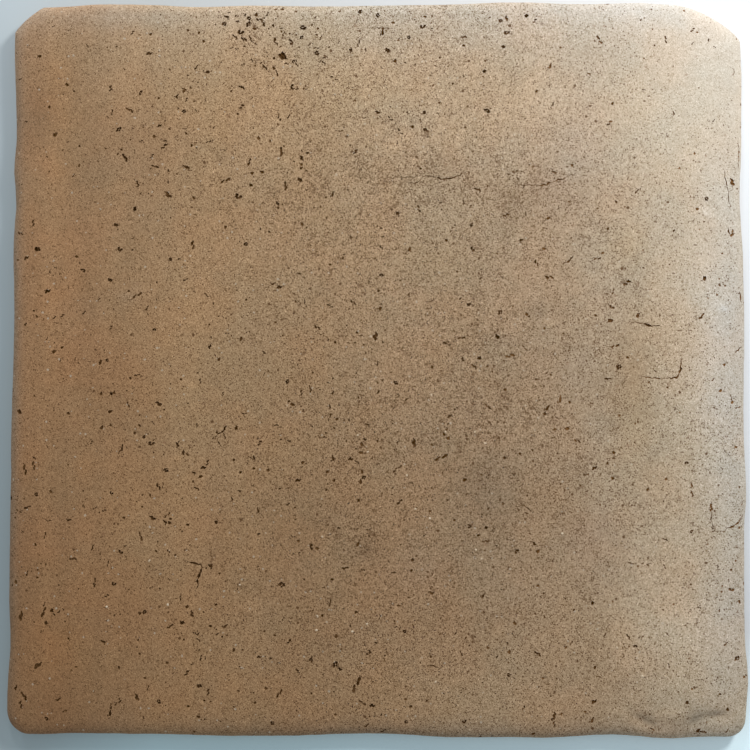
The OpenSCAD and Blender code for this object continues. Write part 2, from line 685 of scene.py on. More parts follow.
@dataclass
class Relief:
    """The face's uneven skin: hand-pressed marks, slow swells and a slightly ragged rolled edge."""

    presses: tuple[Spot, ...] = spots(
        (-72, 93, 3.6, 2.8, -0.55, 20), (-73, 88, 5, 1.7, 0.18, 5), (-45, 105, 2, 7, 0.14),
        (147.5, 69.5, 4, 2.2, 0.16, -30), (155.5, 26, 3, 4, 0.12), (16, 110.5, 3.5, 4.5, -0.4),
        (5, 103, 4, 3, -0.4), (13, 103, 4, 2.5, 0.16), (7, 99, 5, 2.5, 0.14), (-55.5, -108, 5, 4, 0.2),
        (84, 51, 5, 4, -0.35, -35), (84, 41, 2.5, 6, -0.35), (73, 22.5, 5, 3.5, -0.4, -30),
        (76.5, 19.5, 4.5, 1.7, 0.14, -20), (119, -157.3, 7, 2.3, -1.1, -25), (109, -153.5, 7, 3, 0.2, -60),
        (131, -154.5, 7, 3, 0.18), (141.5, -157, 4.5, 2.1, -0.9, 30), (150.5, -154.7, 6, 2, -1.1, 8),
        (-83, -9.5, 3.5, 1.2, 0.12), (-89, -42, 3.5, 1.2, 0.12), (24, -41, 8, 2, 0.14, 5),
        (60, 7, 6, 3, -0.25, 10), (104, 8, 7, 7, -0.2),
    )
    # Depth and pitch of the slow swells, of the ripples and of the rolled edge's raggedness, and the
    # upward parts of the normal between which each sets in.
    swell: float = 0.16 * MM
    swell_pitch: float = 34 * MM
    swell_slopes: tuple[float, float] = (0.6, 0.98)
    ripple: float = 0.07 * MM
    ripple_pitch: float = 9 * MM
    ripple_slopes: tuple[float, float] = (-0.2, 0.5)
    ragged: float = 0.22 * MM
    ragged_pitch: float = 6 * MM
    ragged_slopes: tuple[float, float] = (0.97, 0.3)
    # Heights between which they fade in over the floor.
    off_floor: tuple[float, float] = (0.3 * MM, 1.5 * MM)
    seed: float = 4.0
    # A mark touches only what faces up more than this, and stays this far below the crown.
    facing: float = 0.2
    clear: float = 0.02 * MM

    def press(self, piece: Object) -> None:
        """Writes how far each point of the face is pressed in or lifted.

        Args:
            piece: The tile.
        """
        lift = piece.data.attributes.new("lift", "FLOAT", "POINT")
        for vertex, value in zip(piece.data.vertices, lift.data):
            if vertex.normal.z > self.facing:
                rise = sum(press.strength * MM * press.share(vertex.co) for press in self.presses)
                value.value = min(rise, cad_high.z - vertex.co.z - self.clear)

    def apply(self, piece: Object) -> None:
        """Presses the marks and works the skin of the tile.

        Args:
            piece: The tile.
        """
        self.press(piece)
        wiring = Shaping("worked_skin", {
            "Swell": self.swell, "Swell Pitch": self.swell_pitch, "Ripple": self.ripple,
            "Ripple Pitch": self.ripple_pitch, "Ragged": self.ragged,
            "Ragged Pitch": self.ragged_pitch, "Seed": self.seed})
        self._wire(wiring)
        wiring.run(piece)

    def _wire(self, wiring: Shaping) -> None:
        """Wires the tree, which only ever moves the skin inwards, but for the marks.

        Args:
            wiring: The geometry tree.
        """
        given = wiring.given
        place = wiring.place()
        normal = wiring.normal()
        level = wiring.split(normal)[2]
        parts = []
        for name, slopes in (("Swell", self.swell_slopes), ("Ripple", self.ripple_slopes),
                             ("Ragged", self.ragged_slopes)):
            noise = wiring.noise(place, given[name + " Pitch"], seed=given["Seed"])
            depth = wiring.remap(noise.outputs[0], NOISE_LOW, NOISE_HIGH, -1.0, 0.0)
            parts.append(wiring.times(wiring.times(depth, given[name]), wiring.remap(level, *slopes)))
        off_floor = wiring.remap(wiring.split(place)[2], *self.off_floor)
        depth = wiring.calc("ADD", wiring.calc("ADD", parts[0], parts[1]), parts[2])
        push = wiring.vector("SCALE", normal, wiring.times(depth, off_floor))
        rise = wiring.upright(wiring.attribute("lift"))
        moved = wiring.add("GeometryNodeSetPosition", {
            "Geometry": wiring.tile, "Offset": wiring.vector("ADD", push, rise)})
        wiring.end(moved.outputs[0])


# ------ Back ------


@dataclass
class KeyedBack:
    """The keying pockets and the bevel of the back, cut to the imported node's own."""

    packed: PackedTile
    slab: float = 2.2 * MM
    reach: float = 8 * MM

    def cut(self, piece: Object, clay: Material) -> None:
        """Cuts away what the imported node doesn't have near the floor.

        Args:
            piece: The tile.
            clay: The finish of the cut faces.
        """
        pattern = self.packed.as_object("back_pattern")
        wiring = Shaping("keyed_back", {"Pattern": pattern, "Slab": self.slab, "Reach": self.reach,
                                        "Clay": clay})
        self._wire(wiring)
        wiring.run(piece)
        bpy.data.objects.remove(pattern)

    def _wire(self, wiring: Shaping) -> None:
        """Wires the tree: the tile, less a slab that has had the pattern taken out of it.

        Args:
            wiring: The geometry tree.
        """
        given = wiring.given
        pattern = wiring.shape_of("Pattern")
        box = wiring.add("GeometryNodeBoundBox", {"Geometry": pattern})
        low, high = box.outputs["Min"], box.outputs["Max"]
        span = wiring.vector("SUBTRACT", high, low)
        reach = wiring.vector("SCALE", (2.0, 2.0, 0.0), given["Reach"])
        flat = wiring.vector("MULTIPLY", wiring.vector("ADD", span, reach), (1.0, 1.0, 0.0))
        deep = wiring.upright(wiring.times(given["Slab"], 2.0))
        size = wiring.vector("ADD", flat, deep)
        slab = wiring.add("GeometryNodeMeshCube", {"Size": size}).outputs["Mesh"]
        wiring.end(wiring.cut(wiring.tile, wiring.cut(slab, pattern)), "Clay")


# ------ Pebbles, for pits and grains ------


@dataclass
class Setting:
    """Where pebbles go and how large each one is, as the sockets of a geometry tree."""

    points: Socket
    normal: Socket
    wide: Socket
    long: Socket
    turn: Socket


def marked_points(name: str, rows: tuple[Row, ...]) -> Object:
    """Makes loose points that carry a width, a length and a turn.

    Args:
        name: The object's name.
        rows: Each point's x, y, width and length in mm, and any turn in degrees.

    Returns:
        The object.
    """
    mesh = bpy.data.meshes.new(name)
    mesh.from_pydata([(x * MM, y * MM, 0.0) for x, y, *_ in rows], [], [])
    for label, column, unit in (("wide", 2, MM), ("long", 3, MM), ("turn", 4, math.pi / 180)):
        values = [row[column] * unit if column < len(row) else 0.0 for row in rows]
        mesh.attributes.new(label, "FLOAT", "POINT").data.foreach_set("value", values)
    return put_in_scene(name, mesh)


def dropped(wiring: Shaping) -> Setting:
    """Lays the placed points on the face, with their own widths, lengths and turns."""
    cast = wiring.on_face()
    found = wiring.add("GeometryNodeMeshToPoints", {
        "Mesh": wiring.shape_of("Placed"), "Position": cast.outputs["Hit Position"],
        "Selection": cast.outputs["Is Hit"]})
    around = wiring.add("GeometryNodeSampleNearestSurface", {
        "Mesh": wiring.tile, "Value": wiring.normal()}, data_type="FLOAT_VECTOR")
    return Setting(found.outputs[0], around.outputs["Value"], wiring.attribute("wide"),
                   wiring.attribute("long"), wiring.attribute("turn"))


def pebbles(wiring: Shaping, finer: int, uneven: float, seeds: range) -> Socket:
    """Makes a few lumpy pebbles to choose from, each about 1 in radius.

    Args:
        wiring: The geometry tree.
        finer: How often the ball that they start from is divided.
        uneven: How far they bulge and dip.
        seeds: A seed for each pebble.

    Returns:
        The pebbles, each an instance of its own.
    """
    kinds = []
    for seed in seeds:
        ball = wiring.add("GeometryNodeMeshIcoSphere", {"Radius": 1.0, "Subdivisions": finer})
        lumps = wiring.noise(wiring.place(), 0.9, detail=1.0, seed=float(seed))
        rise = wiring.remap(lumps.outputs[0], NOISE_LOW, NOISE_HIGH, -uneven, uneven)
        lumpy = wiring.add("GeometryNodeSetPosition", {
            "Geometry": ball.outputs["Mesh"], "Offset": wiring.vector("SCALE", wiring.normal(), rise)})
        kinds.append(wiring.add("GeometryNodeGeometryToInstance", {0: lumpy.outputs[0]}).outputs[0])
    return wiring.join(kinds)


def crooked_row(draw: random.Random) -> list[tuple[float, float, float]]:
    """Returns where the balls of a crooked row are, and their radii."""
    row = []
    y = draw.uniform(-0.35, 0.35)
    for x in (-0.62, -0.22, 0.22, 0.6):
        row.append((x + draw.uniform(-0.1, 0.1), y, draw.uniform(0.25, 0.52)))
        y = max(-0.5, min(0.5, y + draw.uniform(-0.6, 0.6)))
    return row


def broken_ring(draw: random.Random) -> list[tuple[float, float, float]]:
    """Returns where the balls of a ring with gaps are, and their radii."""
    ring = []
    turn = draw.uniform(0.0, 2 * math.pi)
    for _ in range(5):
        far = draw.uniform(0.35, 0.66)
        ring.append((far * math.cos(turn), far * math.sin(turn), draw.uniform(0.32, 0.56)))
        turn += draw.uniform(0.8, 1.5)
    return ring


def grown_balls(wiring: Shaping, layout: Callable[[random.Random], list[tuple[float, float, float]]],
                seeds: range) -> Socket:
    """Makes a few ragged shapes of balls grown into one another, each about 1 in radius.

    Args:
        wiring: The geometry tree.
        layout: What says where the balls of one shape are.
        seeds: A seed for each shape.

    Returns:
        The shapes, each an instance of its own.
    """
    kinds = []
    for seed in seeds:
        draw = random.Random(seed)
        balls = []
        for x, y, radius in layout(draw):
            ball = wiring.add("GeometryNodeMeshIcoSphere", {"Radius": radius, "Subdivisions": 1})
            moved = wiring.add("GeometryNodeTransform", {
                "Geometry": ball.outputs["Mesh"], "Translation": (x, y, BALL_Z),
                "Rotation": (0.0, 0.0, draw.uniform(0.0, 3.0)), "Scale": (1.0, 1.0, BALL_HIGH)})
            balls.append(moved.outputs[0])
        kinds.append(wiring.add("GeometryNodeGeometryToInstance", {0: wiring.unite(balls)}).outputs[0])
    return wiring.join(kinds)


def set_in(wiring: Shaping, setting: Setting, choices: Socket, lift: float,
           slim: float | None = None) -> Socket:
    """Sets pebbles into the face, each turned and stretched along it.

    Args:
        wiring: The geometry tree.
        setting: Where they go and how large they are.
        choices: The pebbles to choose from.
        lift: How far their middles are over the face, in parts of their own half height.
        slim: How much longer than wide one is from where on a second lot of choices is used. There is
            then a third lot too, for the broad ones.

    Returns:
        The instances.
    """
    choice = wiring.pick(PEBBLE_KINDS, 8)
    if slim is not None:
        longer = wiring.calc("GREATER_THAN", wiring.calc("DIVIDE", setting.long, setting.wide), slim)
        broad = wiring.times(wiring.calc("GREATER_THAN", setting.wide, BROAD),
                             wiring.calc("SUBTRACT", 1.0, longer))
        lot = wiring.calc("MULTIPLY_ADD", broad, 2.0, longer)
        choice = wiring.calc("MULTIPLY_ADD", lot, float(PEBBLE_KINDS), choice)
    upright = wiring.add("FunctionNodeAlignRotationToVector", {"Vector": setting.normal}, axis="Z")
    spin = wiring.add("FunctionNodeAxisAngleToRotation", {"Axis": UP, "Angle": setting.turn})
    turned = wiring.add("FunctionNodeRotateRotation", {0: upright.outputs[0], 1: spin.outputs[0]},
                        rotation_space="LOCAL")
    deep = wiring.times(wiring.calc("SQRT", setting.wide), PEBBLE_DEPTH)
    across = setting.wide
    if slim is not None:
        hooked = wiring.times(wiring.calc("SUBTRACT", setting.long, setting.wide), 0.5)
        across = wiring.calc("MULTIPLY_ADD", longer, hooked, across)
    size = wiring.add("ShaderNodeCombineXYZ", {
        "X": wiring.times(setting.long, PEBBLE_REACH),
        "Y": wiring.times(across, PEBBLE_REACH), "Z": deep})
    laid = wiring.add("GeometryNodeInstanceOnPoints", {
        "Points": setting.points, "Instance": choices, "Pick Instance": True,
        "Instance Index": choice, "Rotation": turned.outputs[0], "Scale": size.outputs[0]})
    raised = wiring.add("GeometryNodeTranslateInstances", {
        "Instances": laid.outputs[0], "Translation": (0.0, 0.0, lift), "Local Space": True})
    return raised.outputs[0]


# ------ Pits ------


@dataclass
class Pits:
    """The open pits of the face: strewn ones, thicker in some patches, and the listed ones."""

    crowds: tuple[Spot, ...] = spots(
        (-48, 143, 26, 22, 0.8), (-92, 100, 32, 30, 1.0), (-40, 90, 12, 34, 1.3), (-105, 0, 38, 34, 0.6),
        (-88, -45, 30, 28, 0.8), (-85, -100, 34, 30, 1.1), (-15, -35, 30, 44, 0.9), (40, -45, 46, 40, 0.9),
        (30, 95, 40, 26, 0.3), (-155, -70, 22, 36, 0.6), (112, -124, 14, 12, 2.6),
        (156, -112, 22, 18, 1.5), (158, -75, 12, 14, 1.7), (45, 3, 22, 16, 0.8), (100, -40, 34, 26, 0.4),
        (-70, -145, 34, 26, 0.4), (110, 110, 60, 60, -0.6), (-140, 130, 30, 34, -0.4),
        (120, 0, 44, 170, -0.45), (0, -20, 40, 130, 0.4), (-10, -125, 50, 30, 0.5),
        (80, -118, 50, 34, 0.6),
    )
    plain: float = 0.33
    per_metre: float = 30000.0
    apart: float = 1.2 * MM
    # The strewn ones clump where a noise of this pitch passes the first value, fully from the second
    # on. Outside and inside the clumps they are this thick, in parts of the rest.
    clump_pitch: float = 9.0 * MM
    clump_edge: tuple[float, float] = (0.4, 0.66)
    clump_share: tuple[float, float] = (0.08, 2.0)
    # Their least and greatest width, and length in widths. A higher power makes large ones rarer.
    widths: tuple[float, float] = (0.62 * MM, 1.7 * MM)
    width_power: float = 3.6
    lengths: tuple[float, float] = (1.0, 2.3)
    length_power: float = 2.0
    seed: int = 7
    # A pit is cut by a pebble raised this share of its half height, and longer than this many widths
    # it is a crooked row.
    raised: float = 0.45
    slim: float = 1.7
    # The face is what faces up more than this.
    facing: float = 0.35
    # How much wider and longer than listed the placed pits are cut: most of them, those at the left
    # and the right, and those of the rear cluster.
    swollen: float = 1.14
    swollen_beside: float = 1.07
    swollen_cluster: float = 1.3
    # Each: middle x and y, width and length in mm, and any turn in degrees.
    cluster: tuple[Row, ...] = (
        (-68.5, 158.5, 1.2, 2.2, 145), (-69.5, 155.5, 1.4, 1.9, 20), (-64.5, 159, 0.7, 0.8),
        (-63.5, 156.5, 0.6, 1.6, 165), (-58.2, 158, 1.4, 1.7), (-58.5, 155.2, 1.5, 1.9, 60),
        (-60, 159.5, 0.6, 1.2, 80), (-55, 159.5, 1.0, 1.3, 60), (-54, 157, 1.0, 2.0, 170),
        (-52.5, 155.5, 0.9, 2.6, 120), (-50, 159.5, 0.8, 1.5, 50), (-51.5, 158, 0.6, 0.7),
        (-54.5, 153.3, 0.8, 0.9), (-49.3, 153, 0.6, 0.9, 130), (-62, 151.5, 1.6, 2.0, 10),
        (-64.3, 149.3, 0.9, 2.2, 130), (-61, 149, 0.8, 1.4), (-60.6, 147.7, 0.7, 1.8, 170),
        (-57.8, 148.7, 0.6, 2.0, 110), (-57, 147, 0.7, 1.2, 135), (-55.4, 146, 0.6, 1.1, 140),
        (-58, 151.4, 0.5, 0.6), (-43.7, 153, 0.6, 1.3), (-43.6, 151.8, 0.8, 1.1, 130),
        (-42.8, 151, 0.5, 1.2, 60), (-42.9, 149.8, 0.7, 0.8), (-46.4, 148, 1.0, 1.6, 100),
        (-45.8, 146.4, 0.7, 1.9, 130), (-43.7, 144.8, 0.7, 0.9, 45), (-39.9, 150.7, 0.6, 0.9),
        (-39.3, 146.8, 1.3, 1.9, 120), (-36.9, 150, 0.6, 0.7), (-36.9, 161, 1.0, 1.1),
        (-34.1, 153.4, 1.5, 2.5, 175), (-34.3, 149, 1.1, 1.4, 45), (-27, 153, 0.8, 1.1, 110),
        (-27.6, 150.1, 0.8, 0.9), (-28.4, 158.1, 0.6, 0.7), (-25.6, 148.4, 0.5, 1.5, 60),
        (-30.9, 145.5, 0.6, 1.3, 45), (-27.7, 144.3, 0.8, 1.6, 10), (-27.7, 141.6, 1.5, 1.9, 160),
        (-23.8, 140, 0.6, 1.4, 25), (-22, 144.4, 0.6, 0.8), (-35.5, 144.4, 0.6, 0.7),
        (-42.9, 140.4, 2.4, 3.0, 120), (-46.8, 139.3, 1.0, 1.2, 90), (-37.5, 140.2, 0.6, 0.8),
        (-37.2, 137.4, 0.8, 1.7, 100), (-36.5, 136, 0.6, 1.2, 130), (-41.3, 137.1, 0.6, 0.8, 140),
        (-40.5, 136.6, 0.5, 0.6), (-50.2, 142, 0.5, 1.0, 120), (-49.9, 140.2, 0.5, 0.6),
        (-57, 138.4, 0.6, 1.2, 110), (-55.4, 137.6, 0.5, 1.1, 90), (-55.3, 136.1, 0.7, 1.0, 90),
        (-52.7, 137.2, 0.7, 0.9), (-51.3, 137.8, 0.5, 0.9, 90), (-51.5, 135.8, 0.7, 1.5, 130),
        (-50.3, 134.9, 0.9, 1.6, 120), (-46.8, 134.7, 0.9, 1.5, 120), (-45.9, 132.3, 0.6, 2.1, 115),
        (-24.5, 137.2, 0.8, 1.5, 130), (-26, 138, 0.5, 1.0, 60), (-63.8, 143.5, 0.5, 1.1),
        (-66.3, 144.4, 0.5, 1.3, 15), (-61.2, 140.1, 0.6, 0.7), (-60.9, 136.7, 0.5, 1.4, 15),
        (-38.7, 126.2, 1.2, 1.7, 80), (-33.3, 125.5, 0.8, 1.1, 90), (-61.3, 126.2, 0.6, 0.8, 90),
        (-26.8, 130.7, 0.5, 1.0, 85), (-20.6, 130.8, 0.6, 1.0, 160), (-18.6, 129.8, 0.6, 1.1),
        (-46.3, 162.2, 0.8, 0.9), (-43.4, 162.2, 1.0, 1.2),
    )
    rear_left: tuple[Row, ...] = (
        (-45, 113, 0.7, 1.8, 90), (-45, 109, 0.8, 1.2, 90), (-40, 112.5, 1.0, 1.8, 50),
        (-35, 84, 1.5, 2.0, 150), (-43, 96.5, 1.1, 3.4, 85), (-52, 87.5, 1.0, 1.5, 140),
        (-41, 81, 1.1, 3.2, 88), (-62.5, 76.5, 2.1, 2.4), (-69, 84, 1.0, 3.6, 35),
        (-61.5, 117.5, 1.2, 2.2, 40), (-77, 133, 1.3, 1.8), (-82.5, 135.5, 0.9, 2.1, 60),
        (-111.5, 151.5, 0.9, 1.9, 50), (-103.5, 141.5, 0.9, 2.4, 15), (-107.5, 123.5, 1.3, 2.0, 70),
        (-87.5, 124.5, 1.2, 1.9, 60), (-91, 122, 1.2, 2.1, 35), (-112, 116, 0.9, 3.1, 145),
        (-87.5, 115, 1.3, 1.6), (-117, 107, 1.4, 2.3, 40), (-94, 107, 1.0, 1.3),
        (-98.5, 108.5, 0.8, 1.7, 30), (-96.5, 99.5, 0.9, 2.8, 35), (-102, 95, 0.8, 1.8, 50),
        (-84, 99.5, 1.1, 1.2), (-76.5, 101.5, 1.0, 2.0, 30), (-100.5, 89.5, 1.0, 2.7, 170),
        (-86, 89.5, 0.8, 3.5, 145), (-108, 82, 1.0, 2.4, 95), (-94.5, 77.5, 0.8, 3.3, 140),
        (-90.5, 86.5, 0.9, 1.1), (-146, 104.5, 1.2, 1.8, 20), (-118, 63.5, 1.3, 2.0, 160),
        (-156, 64.5, 1.1, 2.3, 90), (-153.5, 52.5, 1.8, 2.2), (-116, 52.5, 1.6, 1.8),
        (-68.5, 62.5, 1.1, 1.5), (-59, 55, 1.4, 2.0, 20), (-83.5, 54.5, 1.0, 3.2, 92),
    )
    rear_right: tuple[Row, ...] = (
        (-10, 120, 0.9, 1.4), (-9, 146, 1.1, 2.5, 85), (5.5, 111.5, 1.0, 2.0, 140),
        (4.5, 143, 1.5, 2.0, 150), (8, 138, 1.2, 1.9, 60), (9.5, 147.5, 0.9, 1.2),
        (20.5, 154, 1.6, 2.1, 30), (21.5, 158.5, 0.9, 1.3), (39, 145, 1.0, 1.2), (28, 119, 0.8, 1.0),
        (58.5, 151, 1.5, 2.1, 20), (58.5, 157.5, 0.9, 1.4, 120), (104.5, 110, 1.0, 2.5, 42),
        (133.5, 114, 0.6, 2.0, 95), (106, 118.5, 0.9, 1.2, 30), (95.5, 132, 0.5, 2.1, 145),
        (144.5, 151, 0.9, 1.2), (159, 60, 1.3, 2.4, 80), (77, 66.5, 1.0, 1.4), (107.5, 74, 0.8, 1.2, 110),
        (-10, 97, 0.8, 2.2, 50), (19.5, 89, 0.9, 1.2), (105.5, 33.5, 0.8, 1.9, 80),
        (105.5, 26.5, 1.4, 2.1, 160), (117, 23, 1.3, 1.9, 70), (106.5, 9.5, 1.4, 2.8, 28),
        (112.5, 4, 1.0, 1.5), (108.5, 0, 1.7, 2.4, 60), (66, 8, 0.7, 2.1, 140), (60, 5, 0.9, 3.4, 10),
        (31, 11, 0.7, 2.4, 15), (46, 3.5, 1.3, 1.9), (44, 0, 1.3, 2.3, 135), (-21, 26.5, 1.0, 2.3, 165),
        (-11, 28.5, 0.9, 2.4, 140), (-27, 17, 0.9, 2.6, 145), (-21, 45.5, 0.9, 1.5), (0, 1, 0.9, 1.7, 90),
        (6.5, -3, 0.8, 1.0),
    )
    left: tuple[Row, ...] = (
        (-108.5, 32, 1.4, 3.8, 38), (-158.5, 48.5, 0.9, 2.3, 35), (-135.5, 49, 1.3, 2.1),
        (-120.5, 38.5, 1.4, 1.9, 160), (-104, 26, 1.0, 2.1, 65), (-77, 31.5, 0.9, 2.0, 145),
        (-86.5, 39, 0.8, 2.0, 30), (-153.5, 22, 1.0, 1.5, 130), (-155, 24.5, 0.8, 1.1),
        (-142, 22.5, 0.8, 1.9, 35), (-132, 23.5, 0.9, 1.9, 40), (-61, 12, 1.2, 1.8, 80),
        (-75, 8.5, 1.1, 1.9, 75), (-145.5, 6, 1.2, 1.6), (-108, -4, 0.8, 2.3, 15),
        (-98, -17, 1.4, 2.6, 160), (-95.5, -20, 0.9, 1.1), (-112, -18, 0.9, 2.2, 120),
        (-161, -21, 1.7, 2.3, 120), (-101, -35, 1.7, 2.4, 15), (-63, -28, 1.2, 2.0, 60),
        (-76, -43.5, 1.0, 2.3, 70), (-77.5, -46, 1.0, 2.2, 10), (-64, -42.5, 1.1, 1.4),
        (-80.5, -27, 0.8, 1.6, 90), (-79.5, -7, 0.7, 2.1, 90), (-86.5, -39, 0.7, 2.2, 95),
        (-154.5, -45, 0.7, 3.0, 100), (-158.5, -47, 0.45, 4.0, 100), (-98, -54.5, 0.7, 2.9, 120),
        (-96, -54, 0.5, 2.2, 95), (-61, -48, 1.0, 1.5), (-106.5, -27, 0.9, 1.3, 140),
        (-119.5, -27, 0.9, 1.4, 70), (-138, -69.5, 1.2, 2.3), (-126.5, -64, 0.8, 1.8, 45),
        (-122, -65, 0.8, 1.8, 10), (-149, -76.5, 0.8, 2.4, 85), (-94, -67, 0.8, 2.8, 50),
        (-84.5, -71.5, 1.0, 1.3), (-106, -77, 0.8, 3.4, 115), (-112.5, -81, 0.8, 1.5),
        (-127, -82, 0.7, 2.3, 65), (-120.5, -89, 0.7, 2.1, 85), (-126.5, -97.5, 0.7, 3.4, 92),
        (-120.5, -103, 1.1, 1.9, 20), (-157, -93.5, 0.8, 1.9, 80), (-74, -90, 1.0, 2.2, 120),
        (-90, -85, 0.8, 1.2), (-159, -112.5, 0.5, 3.8, 85), (-149.5, -110.5, 0.7, 4.0, 72),
        (-142, -110.5, 0.9, 1.8, 50), (-86.5, -115, 1.4, 1.8, 20), (-92, -117, 0.9, 2.8, 25),
        (-67.5, -116.5, 1.3, 2.9, 20), (-74, -116.5, 1.1, 1.3), (-71, -120, 0.9, 1.8, 20),
        (-79.5, -120, 0.8, 1.9, 40), (-79, -122.5, 0.8, 1.9, 130), (-63.5, -127, 1.2, 1.7, 60),
        (-59.5, -127, 0.8, 1.0), (-78.5, -130.5, 0.8, 2.2, 85), (-84.5, -137, 0.9, 2.6, 50),
        (-82, -133, 0.8, 1.5, 40), (-105.5, -129, 1.1, 1.3), (-102, -144, 1.0, 1.8, 80),
        (-115.5, -150.5, 1.1, 3.0, 45), (-97, -150, 1.4, 2.2, 130), (-106.5, -148, 0.7, 3.0, 120),
        (-75, -145.5, 1.1, 2.6, 80), (-76.5, -149.5, 0.9, 1.2), (-73.5, -150, 0.9, 1.3),
        (-151, -134.5, 0.9, 3.7, 42), (-134, -135, 0.9, 1.1), (-136, -136.5, 0.9, 1.1),
        (-157, -148, 0.9, 3.8, 120), (-161, -144.5, 0.8, 2.0, 80), (-142, -149.5, 0.5, 2.6, 25),
        (-138.5, -154.5, 0.9, 1.2), (-71.5, -107, 1.0, 1.2, 30),
    )
    middle: tuple[Row, ...] = (
        (8.5, -7.5, 1.3, 1.9, 150), (49.5, -18.5, 1.0, 2.6, 145), (33, -22.5, 0.8, 1.9, 40),
        (35, -19.5, 0.8, 1.1), (-21, -18.5, 0.8, 2.2, 90), (-21.5, -23.5, 0.9, 2.1, 80),
        (-4, -26.5, 0.6, 2.4, 150), (-29.5, -10.5, 0.9, 2.5, 95), (-34, -12, 0.7, 2.2, 90),
        (17, -34, 0.8, 3.0, 100), (-11.5, -42, 1.0, 2.0, 10), (-8.5, -43, 1.0, 1.8, 140),
        (-6.5, -47.5, 1.2, 1.8, 90), (-5.5, -50, 1.3, 1.7, 30), (-7, -52, 1.1, 1.8, 75),
        (-7, -39, 1.2, 1.7), (8, -46.5, 0.8, 2.2, 60), (10.5, -45, 0.8, 1.9, 30),
        (28.5, -40.5, 0.8, 4.8, 32), (-55, -41.5, 1.0, 2.1, 85), (-33, -43.5, 1.1, 1.3),
        (-35, -51.5, 1.0, 2.1, 15), (-52.5, -34.5, 1.2, 2.2, 50), (39.5, -51, 1.2, 1.6),
        (49.5, -49, 0.9, 1.7, 60), (-53, -65, 0.9, 2.6, 90), (-42, -98, 2.0, 2.3),
        (-19.5, -95.5, 1.1, 1.8, 20), (-45, -120.5, 1.1, 1.3), (-39, -123, 0.9, 1.6, 45),
        (-29, -131, 0.9, 2.2, 95), (-35, -136, 1.0, 2.0, 130), (-18, -133, 1.7, 2.5, 60),
        (-16, -135, 1.0, 1.8, 160), (-9.5, -142, 1.3, 5.6, 72), (-49, -144, 1.2, 1.5),
        (-43.5, -146, 1.1, 3.3, 65), (-6, -150.5, 1.0, 2.8, 160), (-1.5, -151.5, 1.2, 2.1),
        (-18, -155.5, 1.0, 1.3), (15.5, -151.5, 1.1, 1.4), (-4, -160.5, 1.0, 2.0, 30),
        (3, -162.5, 0.9, 2.3, 45), (50, -125.5, 1.2, 1.6), (24.5, -129.5, 1.0, 1.3, 120),
        (47.5, -102.5, 1.3, 2.3, 40), (45.5, -75.5, 1.0, 1.3), (48.5, -78, 1.0, 2.1),
        (24.5, -101, 0.6, 2.2, 170), (10, -107, 0.9, 1.2), (-9, -110, 1.0, 1.4), (-21, -106, 0.8, 2.6, 85),
        (70.5, -79, 0.7, 2.0, 140), (24, -65, 0.9, 1.4),
    )
    right: tuple[Row, ...] = (
        (130, -9.5, 0.9, 1.2), (82, -15, 0.7, 3.8, 72), (150.5, -6, 0.7, 1.6, 40),
        (161.5, -18, 0.7, 2.3, 25), (108.5, -22, 1.0, 1.4), (116.5, -24.5, 0.8, 1.6, 100),
        (89.5, -33.5, 0.9, 2.5, 160), (106, -38.5, 1.3, 1.8, 120), (97.5, -45.5, 0.9, 2.4, 40),
        (93.5, -48, 0.9, 2.2, 20), (105.5, -50, 1.2, 1.8, 120), (121, -55, 1.1, 1.8, 60),
        (140.5, -53, 0.8, 2.6, 95), (141, -57, 0.7, 2.2, 90), (160.5, -36, 1.0, 1.3),
        (149.5, -63, 1.7, 3.0, 80), (163, -61, 0.8, 1.4, 90), (140, -97, 1.0, 1.3),
        (160.5, -129.5, 1.6, 2.2, 45), (155, -123, 0.9, 2.0, 50), (163.5, -138, 1.2, 1.6),
        (97, -149, 1.4, 2.4, 40), (93, -153.5, 0.9, 1.3, 130), (79.5, -155, 0.8, 2.6, 90),
        (79, -159, 0.7, 2.4, 90), (82.5, -154.5, 0.9, 1.4, 60), (70, -163.5, 1.2, 1.9, 20),
        (123, -161, 0.9, 1.9, 140), (143, -161.5, 1.4, 1.8, 60), (145.5, -162, 1.1, 2.6, 160),
        (155.5, -161.5, 0.7, 2.0, 70), (63, 88, 0.6, 1.0), (65.3, 87.6, 0.7, 1.3, 160),
        (66.7, 88.5, 0.5, 1.0, 30), (79.7, 87.4, 0.8, 2.4, 150), (70.3, 89.9, 0.4, 1.8, 10),
        (162.2, 80.2, 0.7, 0.9), (153.5, 39.3, 0.7, 0.9), (153.9, 36.2, 0.9, 1.0),
        (156.1, 36.2, 0.8, 1.1, 20), (154.9, 50.8, 0.8, 0.9), (146.8, 65, 0.6, 1.0), (150, 60.9, 0.7, 0.9),
        (142.8, 95.9, 0.7, 1.1, 90), (86.5, -123, 0.8, 1.9, 65), (112.5, -124.5, 0.8, 1.1),
        (117.5, -120, 0.6, 2.3, 28), (113.5, -88, 0.7, 2.2, 175), (160, -86.5, 0.8, 1.1),
    )

    def thicken(self, piece: Object) -> None:
        """Writes how thickly pits are strewn at each point of the face.

        Args:
            piece: The tile.
        """
        thick = piece.data.attributes.new("thickness", "FLOAT", "POINT")
        for vertex, value in zip(piece.data.vertices, thick.data):
            if vertex.normal.z > self.facing:
                more = sum(crowd.strength * crowd.share(vertex.co) for crowd in self.crowds)
                value.value = min(max(self.plain * (1.0 + more), 0.0), 1.0)

